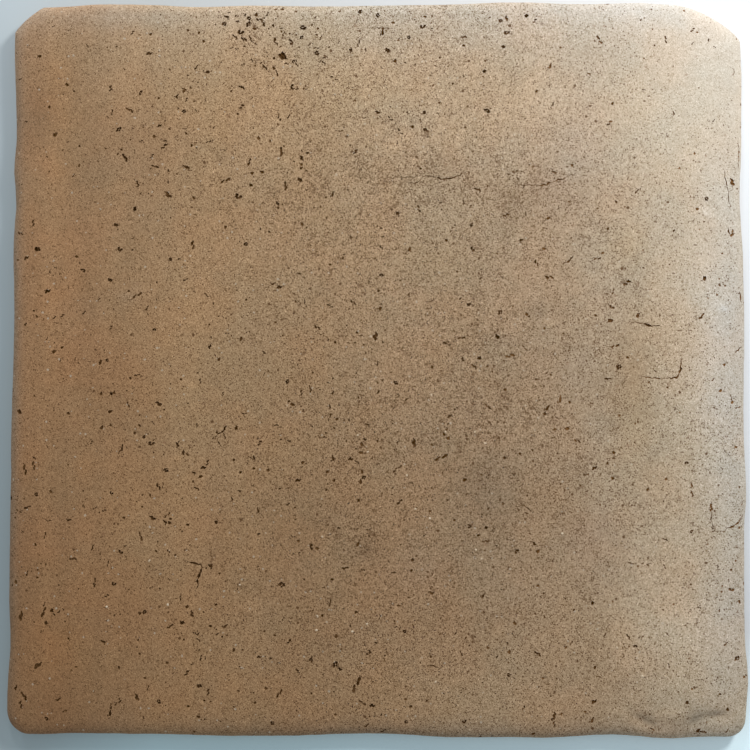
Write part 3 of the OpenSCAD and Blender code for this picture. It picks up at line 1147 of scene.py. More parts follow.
    def cut(self, piece: Object, stain: Material) -> None:
        """Cuts all the pits.

        Args:
            piece: The tile.
            stain: The finish of their insides.
        """
        self.thicken(piece)
        rows = tuple((x, y, wide * more, long * more, *turn)
                     for group, more in ((self.rear_left, self.swollen), (self.rear_right, self.swollen),
                                         (self.left, self.swollen_beside), (self.middle, self.swollen),
                                         (self.right, self.swollen_beside),
                                         (self.cluster, self.swollen_cluster))
                     for x, y, wide, long, *turn in group)
        points = marked_points("placed_pits", rows)
        wiring = Shaping("open_pits", {
            "Placed": points, "Per Square Metre": self.per_metre, "Apart": self.apart,
            "Clump Pitch": self.clump_pitch, "Seed": self.seed, "Stain": stain})
        self._wire(wiring)
        wiring.run(piece)
        bpy.data.objects.remove(points)

    def _wire(self, wiring: Shaping) -> None:
        """Wires the tree: pebbles set into the face, then cut out of it.

        Args:
            wiring: The geometry tree.
        """
        given = wiring.given
        clumps = wiring.noise(wiring.place(), given["Clump Pitch"], detail=1.0, seed=2.0)
        thick = wiring.times(wiring.attribute("thickness"),
                             wiring.remap(clumps.outputs[0], *self.clump_edge, *self.clump_share))
        strewn = wiring.add("GeometryNodeDistributePointsOnFaces", {
            "Mesh": wiring.tile, "Distance Min": given["Apart"],
            "Density Max": given["Per Square Metre"], "Density Factor": thick,
            "Seed": given["Seed"]}, distribute_method="POISSON")
        wide, stretch = (wiring.remap(wiring.calc("POWER", wiring.draw(0.0, 1.0, seed), power),
                                      0.0, 1.0, *limits)
                         for seed, power, limits in ((3, self.width_power, self.widths),
                                                     (5, self.length_power, self.lengths)))
        strewn_ones = Setting(strewn.outputs["Points"], strewn.outputs["Normal"], wide,
                              wiring.times(wide, stretch), wiring.draw(0.0, math.pi, 6))
        placed_ones = dropped(wiring)
        kinds = wiring.join((grown_balls(wiring, broken_ring, range(20, 20 + PEBBLE_KINDS)),
                             grown_balls(wiring, crooked_row, range(PEBBLE_KINDS)),
                             pebbles(wiring, 1, 0.5, range(10, 10 + PEBBLE_KINDS))))
        cutters = wiring.join(set_in(wiring, setting, kinds, self.raised, self.slim)
                              for setting in (strewn_ones, placed_ones))
        wiring.end(wiring.cut(wiring.tile, cutters), "Stain")


# ------ Cracks and grains ------


@dataclass
class Cracks:
    """Hairline drying cracks, each a route over the face in mm, cut as a narrow wedge."""

    # Each: its width and the points that it passes, in mm.
    routes: tuple[tuple[float, tuple[tuple[float, float], ...]], ...] = (
        (0.35, ((9, 84.7), (12.5, 85.4), (15.5, 85.1), (19, 85.6))),
        (0.7, ((20, 85.2), (24.5, 85.7), (28.5, 84.5), (32.5, 84.4), (37, 85.8), (38, 86.9), (41.5, 86.7))),
        (0.55, ((31, 84.8), (30.7, 86), (32.3, 88))),
        (0.45, ((13, 83.4), (14.8, 82.6), (17.2, 82.3), (19, 83.5), (20, 85))),
        (0.4, ((61, 82), (65, 81.6), (74, 81.4))),
        (0.85, ((71.5, 81.2), (75.5, 81.6), (78, 82.8), (84, 84.6))),
        (0.35, ((83, 84.2), (86, 85.8), (90, 87.4))),
        (0.7, ((162.5, 101.5), (163.1, 98), (163, 94), (162.7, 90))),
        (0.55, ((159.3, 88.6), (161.4, 89.2))),
        (0.45, ((156.3, 88.5), (156.5, 85), (157.2, 81), (158, 79), (158, 75), (159, 70.5))),
        (0.4, ((159, 84), (160, 80), (158, 79))),
        (0.8, ((157.6, 62.6), (158, 60.4), (158.6, 58.5), (160, 60.4))),
        (0.5, ((159, 135.3), (161.3, 134), (160.4, 131.5))),
        (0.6, ((162.9, 34), (163.3, 30), (164, 29))),
        (0.8, ((115, 19.8), (119, 19.5), (123, 18), (127, 18.2))),
        (0.7, ((117, -4), (121, -5), (126.5, -5.5), (132, -5))),
        (1.1, ((131, -5.5), (134.5, -4.5), (136, -1), (136.3, 4))),
        (0.6, ((163.5, 9), (160.5, 6.5), (159.5, 4))),
        (0.45, ((155, -37), (157.5, -40), (159.5, -39))),
        (0.9, ((163.5, -66.5), (161, -70), (157.5, -72), (156, -72), (155.5, -73.5))),
        (0.7, ((149, -65), (149.5, -70), (150.5, -72.5))),
        (1.2, ((-71.5, -31), (-69, -29.5), (-67, -26.5))),
        (0.8, ((-69, -30), (-67.5, -33))),
        (0.6, ((-71.5, -31), (-71, -34.5), (-69.5, -36.5))),
        (0.8, ((-114.5, -35.5), (-114.5, -37.5), (-116.5, -41))),
        (0.7, ((-85.5, -87.5), (-81.5, -88.5), (-78.5, -89), (-78, -91.5))),
        (1.1, ((-78.5, -89), (-78, -91), (-79.5, -94.5), (-80, -96.5), (-79.5, -98.5), (-80.5, -100))),
        (0.5, ((22.5, -133), (26, -133.5), (29.5, -135.5))),
        (0.4, ((-3.5, 153.5), (7.5, 153))),
        (0.9, ((83.5, 46), (85, 46.5), (87, 48), (88, 49.5))),
        (0.6, ((-150, -69), (-147, -70), (-144, -69))),
        (0.5, ((69.5, -65), (65.5, -62), (61.5, -63))),
    )
    depth: float = 0.7 * MM
    step: float = 0.55 * MM
    wander: float = 1.1 * MM
    wander_pitch: float = 1.2 * MM
    seed: float = 3.0
    # The share of a crack over which its ends thin out, and the share of the width left at the tip.
    taper: float = 0.35
    tip: float = 0.35
    # How the width changes along it, between noise values, in parts of it.
    bulge_pitch: float = 1.6 * MM
    bulge_edge: tuple[float, float] = (0.38, 0.62)
    bulge: tuple[float, float] = (0.3, 1.7)
    # The wedge's corners: across in widths, and up in depths.
    wedge: tuple[tuple[float, float], ...] = ((0.5, 0.35), (0.0, 0.7), (-0.5, 0.35), (0.0, -1.0))

    def cut(self, piece: Object, stain: Material) -> None:
        """Cuts the cracks.

        Args:
            piece: The tile.
            stain: The finish of their insides.
        """
        mesh = bpy.data.meshes.new("crack_routes")
        places: list[tuple[float, float, float]] = []
        links: list[tuple[int, int]] = []
        widths: list[float] = []
        for width, route in self.routes:
            links += [(len(places) + i, len(places) + i + 1) for i in range(len(route) - 1)]
            places += [(x * MM, y * MM, 0.0) for x, y in route]
            widths += [width * MM] * len(route)
        mesh.from_pydata(places, links, [])
        mesh.attributes.new("wide", "FLOAT", "POINT").data.foreach_set("value", widths)
        routes = put_in_scene("crack_routes", mesh)
        wiring = Shaping("drying_cracks", {
            "Routes": routes, "Depth": self.depth, "Step": self.step, "Wander": self.wander,
            "Seed": self.seed, "Stain": stain})
        self._wire(wiring)
        wiring.run(piece)
        bpy.data.objects.remove(routes)

    def _wire(self, wiring: Shaping) -> None:
        """Wires the tree: each route becomes a wedge that thins out to its ends.

        Args:
            wiring: The geometry tree.
        """
        given = wiring.given
        curve = wiring.add("GeometryNodeMeshToCurve", {0: wiring.shape_of("Routes")})
        even = wiring.add("GeometryNodeResampleCurve", {"Curve": curve.outputs[0], "Length": given["Step"]},
                          mode="LENGTH")
        shift = wiring.noise(wiring.place(), self.wander_pitch, seed=given["Seed"])
        sideways = wiring.vector("MULTIPLY", wiring.sway(shift), (2.0, 2.0, 0.0))
        bent = wiring.add("GeometryNodeSetPosition", {
            "Geometry": even.outputs[0], "Offset": wiring.vector("SCALE", sideways, given["Wander"])})
        cast = wiring.on_face()
        laid = wiring.add("GeometryNodeSetPosition", {
            "Geometry": bent.outputs[0], "Position": cast.outputs["Hit Position"]})
        up = wiring.add("GeometryNodeSetCurveNormal", {"Curve": laid.outputs[0]}, mode="Z_UP")
        along = wiring.add("GeometryNodeSplineParameter").outputs["Factor"]
        from_end = wiring.calc("MINIMUM", along, wiring.calc("SUBTRACT", 1.0, along))
        taper = wiring.remap(from_end, 0.0, self.taper, self.tip, 1.0)
        uneven = wiring.noise(wiring.place(), self.bulge_pitch, seed=5.0)
        scale = wiring.times(taper, wiring.remap(uneven.outputs[0], *self.bulge_edge, *self.bulge))
        scale = wiring.times(scale, wiring.attribute("wide"))
        profile = wiring.add("GeometryNodeCurvePrimitiveQuadrilateral", mode="POINTS")
        deep = wiring.calc("DIVIDE", given["Depth"], MM)
        for number, (across, upward) in enumerate(self.wedge, start=1):
            corner = wiring.add("ShaderNodeCombineXYZ", {"X": across, "Y": wiring.times(deep, upward)})
            wiring.feed(profile.inputs[f"Point {number}"], corner.outputs[0])
        swept = wiring.add("GeometryNodeCurveToMesh", {
            "Curve": up.outputs[0], "Profile Curve": profile.outputs[0], "Scale": scale, "Fill Caps": True})
        island = wiring.add("GeometryNodeInputMeshIsland").outputs["Island Index"]
        split = wiring.add("GeometryNodeSplitToInstances", {
            "Geometry": swept.outputs[0], "Group ID": island}, domain="POINT")
        wiring.end(wiring.cut(wiring.tile, split.outputs[0]), "Stain")


@dataclass
class Grains:
    """Pale grains of quartz that stand a little proud of the face."""

    # Each: middle x and y, width and length in mm, and any turn in degrees.
    placed: tuple[Row, ...] = (
        (48.5, -34.5, 0.8, 1.1), (44, -29.5, 0.8, 0.9, 40), (13.5, -49, 0.8, 1.0, 70),
        (-4, -38.5, 0.7, 1.0, 20), (-8.5, -31, 0.8, 0.9), (31, -29.5, 0.7, 0.9, 120),
        (24.5, -13, 0.7, 1.0, 80), (-120.5, -108, 0.8, 1.0, 30), (-93, -107, 0.9, 1.0),
        (-101.5, -87.5, 0.8, 1.1, 50), (-61, -98, 0.8, 0.9), (-26, -112, 0.9, 1.2, 100),
        (-10.5, -118.5, 0.8, 1.0, 10), (-4, -115, 0.7, 0.9, 60), (-24, -76.5, 0.8, 0.9),
        (44.5, -82, 0.8, 1.0, 140), (47, -86, 0.7, 0.9), (26.5, -140.5, 0.8, 1.1, 30),
        (24, -68, 0.8, 0.9, 90), (17.5, -64, 0.7, 1.0), (-26.5, -118, 0.8, 1.0), (118.5, -137.5, 1.0, 1.2),
        (128.5, -137.5, 0.9, 1.1, 70), (107, -125, 0.8, 1.0), (83, -74.5, 0.8, 1.0, 20),
    )
    sunk: float = -0.75
    hidden: float = 1.5

    def set_on(self, piece: Object, stone: Material) -> None:
        """Joins the grains to the face.

        Args:
            piece: The tile.
            stone: Their finish.
        """
        rows = tuple((x, y, wide * self.hidden, long * self.hidden, *turn)
                     for x, y, wide, long, *turn in self.placed)
        points = marked_points("placed_grains", rows)
        wiring = Shaping("pale_grains", {"Placed": points, "Stone": stone})
        kinds = pebbles(wiring, 2, 0.2, range(30, 30 + PEBBLE_KINDS))
        laid = set_in(wiring, dropped(wiring), kinds, self.sunk)
        wiring.end(wiring.unite((laid, wiring.tile)), "Stone")
        wiring.run(piece)
        bpy.data.objects.remove(points)


# ------ Toning ------


@dataclass
class Toning:
    """Where the fired clay came out lighter, darker, warmer or cooler, where painted light and shade lie on
    its pressed slopes and rolled rims, and where dirt has settled.
    """

    # Each: x, y, half length and half width in mm, lightness, and any turn and warmth. Some are the clay's
    # own tones. Many are painted light and shade: painted highlights on the lit slopes of the pressed dents
    # and ridges and painted shade on their shaded slopes, a painted highlight along the rear and right
    # rims, and painted shade along the front and left rims and in the valleys at the front right.
    tones: tuple[Spot, ...] = spots(
        (-73.5, 88, 5, 1.6, 0.27, 5, -0.5), (-72, 92.5, 3, 2, -0.14), (-45, 104, 1.6, 10, 0.08),
        (-46, 107, 2.5, 5, 0.08, 0, -0.5), (16, 110, 3, 4, -0.1), (13, 103.5, 4, 2.5, 0.16),
        (7, 99, 5, 2.5, 0.13), (4.5, 104.5, 3, 2, -0.09), (-112, 31, 6, 3, 0.09, 0, -1.2),
        (-108, 35.5, 4, 1.5, 0.18, -45, -1.0), (84, 41, 2.5, 6, -0.08), (-55.5, -108, 5, 3.5, 0.13),
        (-83, -9.5, 3, 1, 0.22), (-89, -42, 3, 1, 0.22), (24, -41, 8, 3, 0.09),
        (73, 22, 5, 3.5, -0.11, -30), (76.5, 19.5, 4, 1.5, 0.16, -20), (119, -157.3, 7, 2, -0.28, -25),
        (141.5, -157, 4.5, 1.9, -0.26, 30), (150.5, -154.8, 6, 1.7, -0.34, 8), (131, -153.5, 7, 3, 0.14),
        (108, -153, 4, 3, 0.14), (147.5, 69.5, 3.5, 1.6, 0.29, -30, -1.0), (143, 76, 12, 3, -0.08, -10),
        (155.5, 26, 3, 2, 0.18, 0, -1.0), (0, 163, 200, 8, 0.11, 0, -1.2), (48, -52, 26, 22, -0.12),
        (-33, -67, 22, 20, -0.09), (-5, -82, 7, 5, -0.2, 20), (25, -39, 9, 8, -0.08),
        (115, 45, 13, 24, -0.09), (115, -11, 14, 32, -0.12), (72, 76, 28, 15, -0.10),
        (33, 91, 20, 8, -0.09), (-115, 101, 22, 26, -0.05), (99, -72, 16, 12, -0.05),
        (-124, -125, 9, 44, -0.07), (-130, 40, 5, 110, -0.04), (-147, 10, 7, 170, 0.10, 0, 0.1),
        (-152, 30, 9, 18, 0.06), (151, 0, 13, 66, 0.09, 0, -0.7), (137, -118, 30, 22, 0.12, 0, -0.2),
        (2, -133, 26, 14, 0.06), (-8, 126, 22, 16, 0.06), (-105, -77, 16, 20, 0.05), (8, 99, 8, 5, 0.07),
        (-90, 124, 11, 22, 0.04), (0, 158, 200, 24, 0.13, 0, -1.9), (-150, 122, 22, 22, -0.09),
        (-154, 110, 14, 16, -0.13), (136, -157, 16, 7, -0.16), (-165, 0, 5, 200, -0.03, 0, -4.0),
        (100, 158, 50, 14, 0.08), (100, 118, 50, 20, 0.04), (-120, 158, 60, 7, 0.14, 0, -2.0),
        (145, -152, 16, 8, -0.09), (60, -20, 60, 90, -0.03), (158, -30, 14, 60, 0.04),
        (0, -163, 200, 6, -0.16, 0, -1.0), (-160, -10, 14, 70, 0.08), (75, 118, 22, 14, 0.07),
        (140, -80, 22, 30, 0.06), (118, 10, 14, 50, -0.06, 0, 0.6), (50, -65, 14, 24, -0.07),
        (158, -115, 22, 36, 0.0, 0, -1.0), (-105, 100, 44, 30, -0.06), (50, 118, 100, 40, 0.05),
        (125, -108, 44, 26, 0.08), (-110, 72, 44, 40, -0.045), (-145, -150, 24, 20, -0.05),
        (106, -20, 18, 24, -0.04), (60, -24, 16, 24, 0.05), (75, 10, 45, 60, -0.05),
        (45, -152, 70, 24, 0.15), (100, -124, 44, 14, 0.08), (-140, -158, 32, 12, -0.05),
        (-142, 118, 14, 46, 0.0, 0, 0.9), (111, 54, 12, 18, 0.0, 0, 0.8), (113, -24, 12, 36, 0.0, 0, 0.8),
        (-142, -127, 24, 24, 0.0, 0, 0.7), (29, 48, 18, 9, 0.0, 0, 0.5), (85, 101, 22, 34, 0.0, 0, -1.0),
        (162, -20, 18, 150, 0.0, 0, -1.6), (19, -92, 18, 12, 0.0, 0, -0.7),
        (96, -77, 12, 18, 0.0, 0, -0.6),
    )
    dirts: tuple[Spot, ...] = spots(
        (60, 78, 40, 22, 0.35), (-10, 88, 44, 24, 0.2), (50, -20, 34, 30, 0.2), (90, -55, 40, 34, 0.2),
        (104, 30, 14, 44, 0.2), (-5, -82, 9, 7, 0.9, 20), (-30, 60, 30, 54, 0.2), (-30, -50, 30, 50, 0.14),
        (35, 80, 50, 24, 0.12), (-75, 70, 24, 60, 0.1), (50, 20, 30, 30, 0.12), (45, 82, 66, 26, 0.3),
        (60, -20, 70, 40, 0.18), (0, -150, 200, 26, -0.08), (150, 145, 30, 40, -0.3),
        (-60, 85, 40, 24, 0.12), (150, -150, 30, 30, -0.1), (130, 112, 50, 56, -0.14),
        (130, -110, 44, 44, -0.1), (0, -30, 30, 24, 0.12), (-50, 143, 22, 16, 0.15),
        (168, 20, 44, 220, -0.3), (100, 160, 110, 30, -0.22), (0, -158, 220, 24, -0.2),
        (152, -72, 14, 50, 0.12),
    )
    # The dirt at the far left, and how much more there is on the right, rising between two x in mm.
    plain: float = 0.12
    right: float = 0.33
    rise_from: float = -90.0
    rise_to: float = 0.0
    # Tones narrower and shorter than this are small.
    narrow: float = 4.0
    short: float = 20.0

    def small(self) -> tuple[Spot, ...]:
        """Returns the tones that an even lattice is too coarse for."""
        return tuple(tone for tone in self.tones if tone.wide < self.narrow and tone.long < self.short)

    def lay(self, piece: Object) -> None:
        """Writes the tones, with their painted light and shade, and the dirt on the finished tile.

        Args:
            piece: The tile.
        """
        layers = [piece.data.attributes.new(name, "FLOAT", "POINT").data for name in (LIGHTNESS_WITH_PAINTED_SHADE, WARM, DIRT)]
        for vertex, light, warm, dirt in zip(piece.data.vertices, *layers):
            shares = [(spot, spot.share(vertex.co)) for spot in self.tones]
            # Lightness and warmth hold the painted light and shade of the pressed slopes and rims as well
            # as the clay's own tones.
            light.value = sum(spot.strength * share for spot, share in shares)
            warm.value = sum(spot.warmth * share for spot, share in shares)
            rise = (vertex.co.x / MM - self.rise_from) / (self.rise_to - self.rise_from)
            dirt.value = (self.plain + self.right * min(max(rise, 0.0), 1.0)
                          + sum(spot.strength * spot.share(vertex.co) for spot in self.dirts))


# ------ Finishes ------


def effect(name: str, numbers: tuple[str, ...], *masks: str) -> tuple[Wiring, dict, Node]:
    """Starts a shader group that reads a place and some numbers, and gives masks."""
    inputs = {"Place": Kind.VECTOR} | dict.fromkeys(numbers, Kind.NUMBER)
    return new_group(name, "ShaderNodeTree", inputs, dict.fromkeys(masks, Kind.NUMBER))


@dataclass
class Effects:
    """The effects that the clay finishes share, each a node group built once."""

    # Usual range of the grain's tint, and what the rare sooty and glassy grains add to it.
    dull: float = -0.42
    bright: float = 0.56
    sooty: float = -1.42
    glassy: float = 1.1
    # The higher these are, the fewer sooty and glassy grains there are.
    sooty_rare: float = 8.0
    glassy_rare: float = 10.0
    # Slower change of the tint, and its distance in grains.
    cloud: float = 0.12
    cloud_wide: float = 4.0
    # How ragged a fleck is, and its least and greatest radius, in parts of its size.
    ragged: float = 1.1
    least: float = 0.3
    greatest: float = 0.62
    # Where a fleck starts to fade and where it ends, in parts of its radius.
    fleck_edge: tuple[float, float] = (0.85, 1.05)
    # The noise values between which a soft patch sets in.
    patch_edge: tuple[float, float] = (0.33, 0.67)
    # Half the width of a hairline, where it is full and where it ends, in parts of the noise.
    hair_core: float = 0.015
    hair_edge: float = 0.04
    # How much longer than the hairlines' own pitch the gaps between them are.
    gap_wide: float = 1.6
    # What the noise of the gaps has to pass for no cover, how much less for full cover, and its fade.
    gap_at: float = 0.72
    gap_gain: float = -0.22
    gap_fade: float = 0.04

    def __post_init__(self) -> None:
        """Builds the groups."""
        self.grain = self._grain()
        self.flecks = self._flecks()
        self.patches = self._patches()
        self.hairs = self._hairs()

    def _grain(self) -> NodeTree:
        """Sandy grain: a Tint about 0, and a Height from 0 to 1."""
        wiring, given, leave = effect("sandy_grain", ("Pitch", "Seed"), "Tint", "Height")
        cells = wiring.cells(given["Place"], given["Pitch"], given["Seed"])
        red, green, blue = wiring.shares(cells.outputs["Color"])
        coarse = wiring.noise(given["Place"], wiring.times(given["Pitch"], self.cloud_wide),
                              detail=2.0, seed=given["Seed"])
        spread = wiring.remap(coarse.outputs[0], MOST_LOW, MOST_HIGH, -1.0, 1.0)
        tint = wiring.remap(green, 0.0, 1.0, self.dull, self.bright)
        for mask, share in ((wiring.calc("POWER", blue, self.glassy_rare), self.glassy),
                            (spread, self.cloud),
                            (wiring.calc("POWER", red, self.sooty_rare), self.sooty)):
            tint = wiring.calc("MULTIPLY_ADD", mask, share, tint)
        wiring.feed(leave.inputs["Tint"], tint)
        wiring.feed(leave.inputs["Height"], wiring.remap(tint, -1.0, 1.0))
        return wiring.tree

    def _flecks(self) -> NodeTree:
        """Scattered ragged flecks: a Mask that is 1 on a fleck."""
        wiring, given, leave = effect("flecks", ("Spacing", "Size", "Cover", "Seed"), "Mask")
        place, spacing, size = given["Place"], given["Spacing"], given["Size"]
        offset = wiring.sway(wiring.noise(place, size, seed=given["Seed"]))
        warped = wiring.vector("ADD", place,
                               wiring.vector("SCALE", offset, wiring.times(size, self.ragged)))
        cells = wiring.cells(warped, spacing, given["Seed"])
        red, green, _ = wiring.shares(cells.outputs["Color"])
        away = wiring.times(cells.outputs["Distance"], spacing)
        reach = wiring.times(size, wiring.remap(red, 0.0, 1.0, self.least, self.greatest))
        inside = wiring.remap(wiring.calc("DIVIDE", away, reach), *self.fleck_edge, 1.0, 0.0)
        there = wiring.calc("LESS_THAN", green, given["Cover"])
        wiring.feed(leave.inputs["Mask"], wiring.times(inside, there))
        return wiring.tree

    def _patches(self) -> NodeTree:
        """Soft patches: a Mask that drifts between 0 and 1."""
        wiring, given, leave = effect("soft_patches", ("Pitch", "Seed"), "Mask")
        cloud = wiring.noise(given["Place"], given["Pitch"], detail=3.0, seed=given["Seed"])
        wiring.feed(leave.inputs["Mask"], wiring.remap(cloud.outputs[0], *self.patch_edge, smooth=True))
        return wiring.tree

    def _hairs(self) -> NodeTree:
        """Short crooked hairlines: a Mask that is 1 on a line."""
        wiring, given, leave = effect("hairlines", ("Pitch", "Cover", "Seed"), "Mask")
        hills = wiring.noise(given["Place"], given["Pitch"], detail=1.5, seed=given["Seed"])
        off = wiring.calc("ABSOLUTE", wiring.calc("SUBTRACT", hills.outputs[0], 0.5))
        line = wiring.remap(off, self.hair_core, self.hair_edge, 1.0, 0.0)
        gate = wiring.noise(given["Place"], wiring.times(given["Pitch"], self.gap_wide), detail=1.0,
                            seed=wiring.calc("ADD", given["Seed"], 7.0))
        edge = wiring.calc("MULTIPLY_ADD", given["Cover"], self.gap_gain, self.gap_at)
        gap = wiring.calc("SUBTRACT", gate.outputs[0], edge)
        wiring.feed(leave.inputs["Mask"], wiring.times(line, wiring.remap(gap, 0.0, self.gap_fade)))
        return wiring.tree


@dataclass(frozen=True)
class Fleck:
    """One kind of fleck: the distance between two, their size, their cover and their seed."""

    spacing: float
    size: float
    cover: float
    seed: float


class Coat(Wiring):
    """One material as it is being made, with the shared effects that it may lay over its surface."""

    def __init__(self, name: str, effects: Effects | None = None) -> None:
        """Starts the material.

        Args:
            name: The material's name.
            effects: The shared effects, if it uses any.
        """
        self.material = bpy.data.materials.new(name)
        self.material.use_nodes = True
        super().__init__(self.material.node_tree)
        self.effects = effects
        self.shader = self.tree.nodes["Principled BSDF"]
        self.place = self.add("ShaderNodeTexCoord").outputs["Object"]

    def _lay(self, group: NodeTree, **values: object) -> bpy.types.NodeOutputs:
        """Lays an effect over the surface and returns its outputs."""
        return self.add("ShaderNodeGroup", {"Place": self.place} | values, node_tree=group).outputs

    def grain(self, pitch: float, seed: float) -> tuple[Socket, Socket]:
        """Returns the tint and the height of a sandy grain."""
        grain = self._lay(self.effects.grain, Pitch=pitch, Seed=seed)
        return grain["Tint"], grain["Height"]

    def patches(self, pitch: float, seed: float) -> Socket:
        """Returns a mask of soft patches."""
        return self._lay(self.effects.patches, Pitch=pitch, Seed=seed)["Mask"]

    def hairs(self, pitch: float, cover: object, seed: float) -> Socket:
        """Returns a mask of hairlines."""
        return self._lay(self.effects.hairs, Pitch=pitch, Cover=cover, Seed=seed)["Mask"]

    def flecks(self, kind: Fleck, crowd: Socket | None = None) -> Socket:
        """Returns a mask of flecks.

        Args:
            kind: The kind of fleck.
            crowd: How many there are from place to place, in parts of the kind's own cover.

        Returns:
            The mask.
        """
        cover = kind.cover if crowd is None else self.times(crowd, kind.cover)
        return self._lay(self.effects.flecks, Spacing=kind.spacing, Size=kind.size, Cover=cover,
                         Seed=kind.seed)["Mask"]

    def finish(self, colour: Socket, roughness: object, gloss: float | None = None) -> Material:
        """Sets the shader.

        Args:
            colour: Its colour.
            roughness: Its roughness.
            gloss: Its specular level, or None for the usual one.

        Returns:
            The material.
        """
        self.feed(self.shader.inputs["Base Color"], colour)
        self.feed(self.shader.inputs["Roughness"], roughness)
        if gloss is not None:
            self.shader.inputs["Specular IOR Level"].default_value = gloss
        return self.material

    def roughen(self, height: Socket, strength: float, deep: float) -> None:
        """Roughens the surface by a height between 0 and 1 that stands for a depth."""
        bump = self.add("ShaderNodeBump", {"Strength": strength, "Distance": deep, "Height": height})
        self.feed(self.shader.inputs["Normal"], bump.outputs[0])


@dataclass(frozen=True)
class FaceClay:
    """The fired face: warm brown at the left to pale beige at the right, sandy and flecked."""

    # Tones along the rear and the front, each with its share of the way from left to right.
    rear: tuple[tuple[float, Colour], ...] = (
        (0.04, (0.342, 0.202, 0.102)), (0.25, (0.386, 0.256, 0.139)), (0.42, (0.396, 0.282, 0.166)),
        (0.62, (0.406, 0.308, 0.202)), (0.80, (0.446, 0.360, 0.262)), (0.96, (0.552, 0.484, 0.392)))
    front: tuple[tuple[float, Colour], ...] = (
        (0.04, (0.290, 0.157, 0.070)), (0.25, (0.332, 0.198, 0.095)), (0.42, (0.306, 0.189, 0.096)),
        (0.60, (0.320, 0.208, 0.114)), (0.78, (0.362, 0.252, 0.152)), (0.95, (0.498, 0.405, 0.287)))
    # How the share of the rear tones grows from front to rear.
    rear_power: float = 1.7
    # How far the tones stray from their places, and over what distance.
    stray: float = 60 * MM
    stray_pitch: float = 55 * MM
    # Patches laid over the tones: each one's colour, pitch, strength and seed.
    patches: tuple[tuple[Colour, float, float, float], ...] = (
        ((1.07, 0.975, 0.90), 26 * MM, 0.75, 3.0), ((0.94, 0.98, 0.98), 19 * MM, 0.5, 4.0),
        ((1.08, 1.08, 1.08), 8 * MM, 0.5, 5.0))
    # Upright streaks at the left: how much they are drawn out, their pitch and their strength.
    drawn_out: float = 0.12
    streak_pitch: float = 11 * MM
    streak: float = 0.07
    # The sand grain: its size, its colour, its strength at the left and from the middle on, and what
    # the right and the rear right corner take off it, from where on in parts of the way to the right.
    grain_pitch: float = 0.37 * MM
    grain_colour: Colour = (0.88, 1.0, 1.22)
    grain_left: float = 0.48
    grain_middle: float = 0.74
    grain_off_right: float = 0.26
    grain_off_corner: float = 0.22
    right_from: float = 0.2
    corner_from: float = 0.5
    corner_to: float = 1.9
    # What a warmth of 1 adds to the colour.
    warmer: Colour = (0.035, -0.012, -0.10)
    # The flecks, and how strongly each covers the clay.
    dust: Fleck = Fleck(0.8 * MM, 0.57 * MM, 1.0, 1.0)
    larger: Fleck = Fleck(2.3 * MM, 1.15 * MM, 0.16, 4.0)
    rusty: Fleck = Fleck(4.5 * MM, 1.3 * MM, 0.3, 2.0)
    pale: Fleck = Fleck(2.6 * MM, 0.9 * MM, 0.22, 3.0)
    # How they crowd together, over what distance, in parts of their cover.
    crowd: tuple[float, float] = (0.5, 1.5)
    crowd_pitch: float = 13 * MM
    hair_pitch: float = 2.6 * MM
    hair_cover: float = 0.6
    dark_cover: float = 0.92
    rusty_cover: float = 0.35
    pale_cover: float = 0.55
    dark_colour: Colour = (0.105, 0.044, 0.009)
    rusty_colour: Colour = (0.22, 0.105, 0.05)
    pale_colour: Colour = (0.58, 0.50, 0.39)
    # Bare clay shows below this height, over this fade, at an edge that wanders by this much.
    bare_colour: Colour = (0.40, 0.255, 0.155)
    bare_from: float = 4.6 * MM
    bare_fade: float = 1.2 * MM
    bare_wander: float = 1.6 * MM
    bare_pitch: float = 9 * MM
    # Its least and greatest roughness and how far apart they are, its gloss, and its bump.
    smooth: float = 0.58
    rough: float = 0.74
    rough_pitch: float = 14 * MM
    gloss: float = 0.32
    bump: float = 0.6
    bump_deep: float = 0.12 * MM
    fleck_deep: float = 0.8

    def make(self, effects: Effects) -> Material:
        """Makes the material.

        Args:
            effects: The shared effects.

        Returns:
            The material.
        """
        coat = Coat("fired_face", effects)
        x, y, z = coat.split(coat.place)
        # The lightness and warmth attributes carry painted light and shade on the pressed slopes and rims,
        # besides the clay's own tones.
        light, warm, dirt = (coat.add("ShaderNodeAttribute", attribute_name=name).outputs["Fac"]
                             for name in (LIGHTNESS_WITH_PAINTED_SHADE, WARM, DIRT))
        tone = self._drift(coat, x, self._tones(coat, x, y))
        tint, height = coat.grain(self.grain_pitch, 1.0)
        sandy = coat.vector("SCALE", self.grain_colour, coat.times(tint, self._grain_share(coat, x, y)))
        gain = coat.vector("ADD", sandy, EVEN)
        tone = coat.vector("MULTIPLY", tone, coat.vector("SCALE", gain, coat.calc("ADD", light, 1.0)))
        warmth = coat.vector("SCALE", EVEN, warm)
        tone = coat.vector("MULTIPLY", tone, coat.vector("MULTIPLY_ADD", warmth, self.warmer, EVEN))
        tone, holes = self._flecked(coat, dirt, tone)
        level = coat.calc("MULTIPLY_ADD", coat.patches(self.bare_pitch, 6.0), self.bare_wander, z)
        raw = coat.remap(level, self.bare_from, self.bare_from - self.bare_fade)
        colour = coat.mix(raw, tone, coat.vector("MULTIPLY", gain, self.bare_colour))
        coat.roughen(coat.calc("SUBTRACT", height, coat.times(holes, self.fleck_deep)),
                     self.bump, self.bump_deep)
        roughness = coat.remap(coat.patches(self.rough_pitch, 7.0), 0.0, 1.0, self.smooth, self.rough)
        return coat.finish(colour, roughness, self.gloss)

